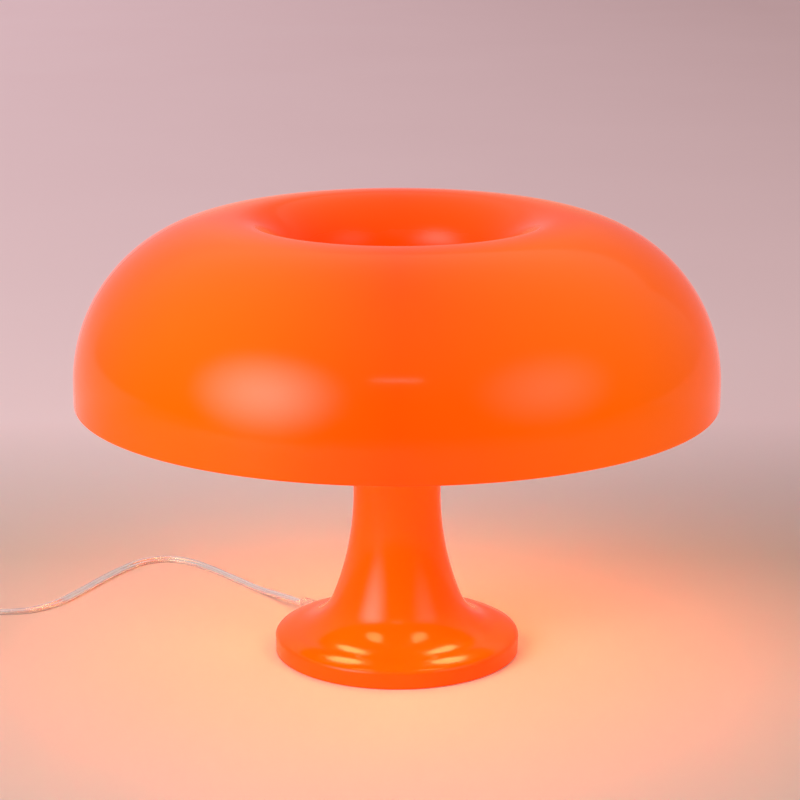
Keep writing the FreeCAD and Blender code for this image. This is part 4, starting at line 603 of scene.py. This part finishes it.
def cord_line():
    """Points of one smooth NURBS line through the whole route, in metres."""
    total = 2 * COIL_TURNS_PER_LAYER + 0.5
    steps = round(total * COIL_POINTS_PER_TURN)
    turns = [coil_point(total * i / steps) for i in range(steps + 1)]
    route = [MOUTH] + LEAD_ROUTE + THROUGH_SWITCH + LINK_ROUTE
    route += [COIL_FIRST_END] + turns + [COIL_LAST_END]
    curve = bpy.data.curves.new("cord_route", "CURVE")
    curve.dimensions = "3D"
    spline = curve.splines.new("NURBS")
    spline.points.add(len(route) - 1)
    for point, place in zip(spline.points, route):
        point.co = (place[0] * MM, place[1] * MM, place[2] * MM, 1.0)
    spline.order_u = 3
    spline.use_endpoint_u = True
    curve.resolution_u = 6
    holder = bpy.data.objects.new("cord_route", curve)
    bpy.context.collection.objects.link(holder)
    bpy.context.view_layer.update()
    line = bpy.data.meshes.new_from_object(holder)
    points = [vertex.co.copy() for vertex in line.vertices]
    bpy.data.objects.remove(holder)
    bpy.data.curves.remove(curve)
    bpy.data.meshes.remove(line)
    return points


def flex_outline(lobe, spacing, count=28):
    """The outline of two round cores side by side, joined by a web."""
    points = []
    for i in range(count):
        a = 2 * math.pi * i / count
        r = spacing * abs(math.cos(a)) + math.sqrt(lobe**2 - (spacing * math.sin(a)) ** 2)
        points.append((r * math.cos(a), r * math.sin(a)))
    return points


def flex_twist(along):
    """The flex's lean at a length along it, in two slow waves."""
    slow = 12 - 12 * math.cos(along / 47.0)
    quick = 6 * math.sin(along / 15.0)
    return math.radians(slow + quick)


def make_cord():
    """A flat twin flex: a clear jacket round a copper and a tinned conductor."""
    spacing = 1.05
    lobe = CORD_WIDTH / 2 - spacing
    core = 0.52
    rise = 4.0  # height off the table over which the flex stops being pressed flat
    jacket = flex_outline(lobe, spacing)
    circle = [(math.cos(a), math.sin(a)) for a in (math.pi * i / 5 for i in range(10))]
    sections = [
        (jacket, 0),
        ([(spacing + core * x, core * y) for x, y in circle], 1),
        ([(core * x - spacing, core * y) for x, y in circle], 2),
    ]
    line = cord_line()
    lengths = [0.0]
    for here, there in zip(line, line[1:]):
        lengths.append(lengths[-1] + (there - here).length)

    frames = []
    for i, middle in enumerate(line):
        ahead = (line[min(i + 1, len(line) - 1)] - line[max(i - 1, 0)]).normalized()
        side = ahead.cross(Vector((0, 0, 1))).normalized()
        up = side.cross(ahead)
        along = lengths[i] / MM
        twist = flex_twist(along)
        tall = lobe + spacing * abs(math.sin(twist))
        raised = min(max((middle.z / MM - LAYER_HEIGHTS[0]) / rise, 0.0), 1.0)
        drop = (CORD_WIDTH / 2 - tall) * (1.0 - raised)
        middle = middle - Vector((0, 0, drop * MM))
        across = side * math.cos(twist) + up * math.sin(twist)
        upright = up * math.cos(twist) - side * math.sin(twist)
        frames.append((middle, across, upright))

    vertices, faces, slots, chart = [], [], [], []
    for outline, slot in sections:
        first = len(vertices)
        count = len(outline)
        for middle, across, upright in frames:
            for x, y in outline:
                vertices.append(middle + (across * x + upright * y) * MM)
        for k in range(len(frames) - 1):
            for i in range(count):
                j = (i + 1) % count
                low, high = first + k * count, first + (k + 1) * count
                faces.append((low + i, low + j, high + j, high + i))
                slots.append(slot)
                left, right = i / count, (i + 1) / count
                near, far = lengths[k] / MM / 10, lengths[k + 1] / MM / 10
                chart.append([(left, near), (right, near), (right, far), (left, far)])
        for start, turned in ((first, True), (first + (len(frames) - 1) * count, False)):
            cap = [start + i for i in range(count)]
            faces.append(tuple(reversed(cap)) if turned else tuple(cap))
            slots.append(slot)
            chart.append([(0.5, 0.0)] * count)
    mesh = bpy.data.meshes.new("twin_flex")
    mesh.from_pydata(vertices, [], faces)
    mesh.polygons.foreach_set("use_smooth", [True] * len(faces))
    mesh.polygons.foreach_set("material_index", slots)
    layer = mesh.uv_layers.new(name="along_cord")
    layer.data.foreach_set("uv", [x for corners in chart for uv in corners for x in uv])
    for look in (
        looks["clear_flex"],
        strand_finish("copper_strands_look", (0.50, 0.27, 0.12), (0.95, 0.66, 0.34)).made,
        strand_finish("tinned_strands_look", (0.34, 0.28, 0.24), (0.80, 0.68, 0.58)).made,
    ):
        mesh.materials.append(look)
    mesh.update()
    cord = bpy.data.objects.new("twin_flex", mesh)
    bpy.context.collection.objects.link(cord)
    finish_piece(cord, "clear_flex", "lamp", "cord_lead", "cord_link", "cord_coil")


def make_floor():
    """A floor that curves up to a backdrop far behind the lamp."""
    half, near, far, bend, high = 6.0, -5.0, 5.0, 1.5, 4.0
    line = [(near, 0.0), (-1.0, 0.0), (0.0, 0.0), (1.0, 0.0), (far, 0.0)]
    steps = 16
    for i in range(1, steps + 1):
        a = math.pi / 2 * i / steps
        line.append((far + bend * math.sin(a), bend * (1 - math.cos(a))))
    line.append((far + bend, high))
    vertices = [(x, y, z) for y, z in line for x in (-half, half)]
    faces = [(2 * i, 2 * i + 1, 2 * i + 3, 2 * i + 2) for i in range(len(line) - 1)]
    mesh = bpy.data.meshes.new("floor")
    mesh.from_pydata(vertices, [], faces)
    mesh.polygons.foreach_set("use_smooth", [True] * len(faces))
    mesh.materials.append(floor_finish().made)
    floor = bpy.data.objects.new("floor", mesh)
    bpy.context.collection.objects.link(floor)


bpy.context.scene.view_settings.view_transform = "Standard"
add_camera()
make_cord()
repaint_frame()
make_shade()
make_base()
make_bulbs()
make_floor()
add_lights()
add_world()
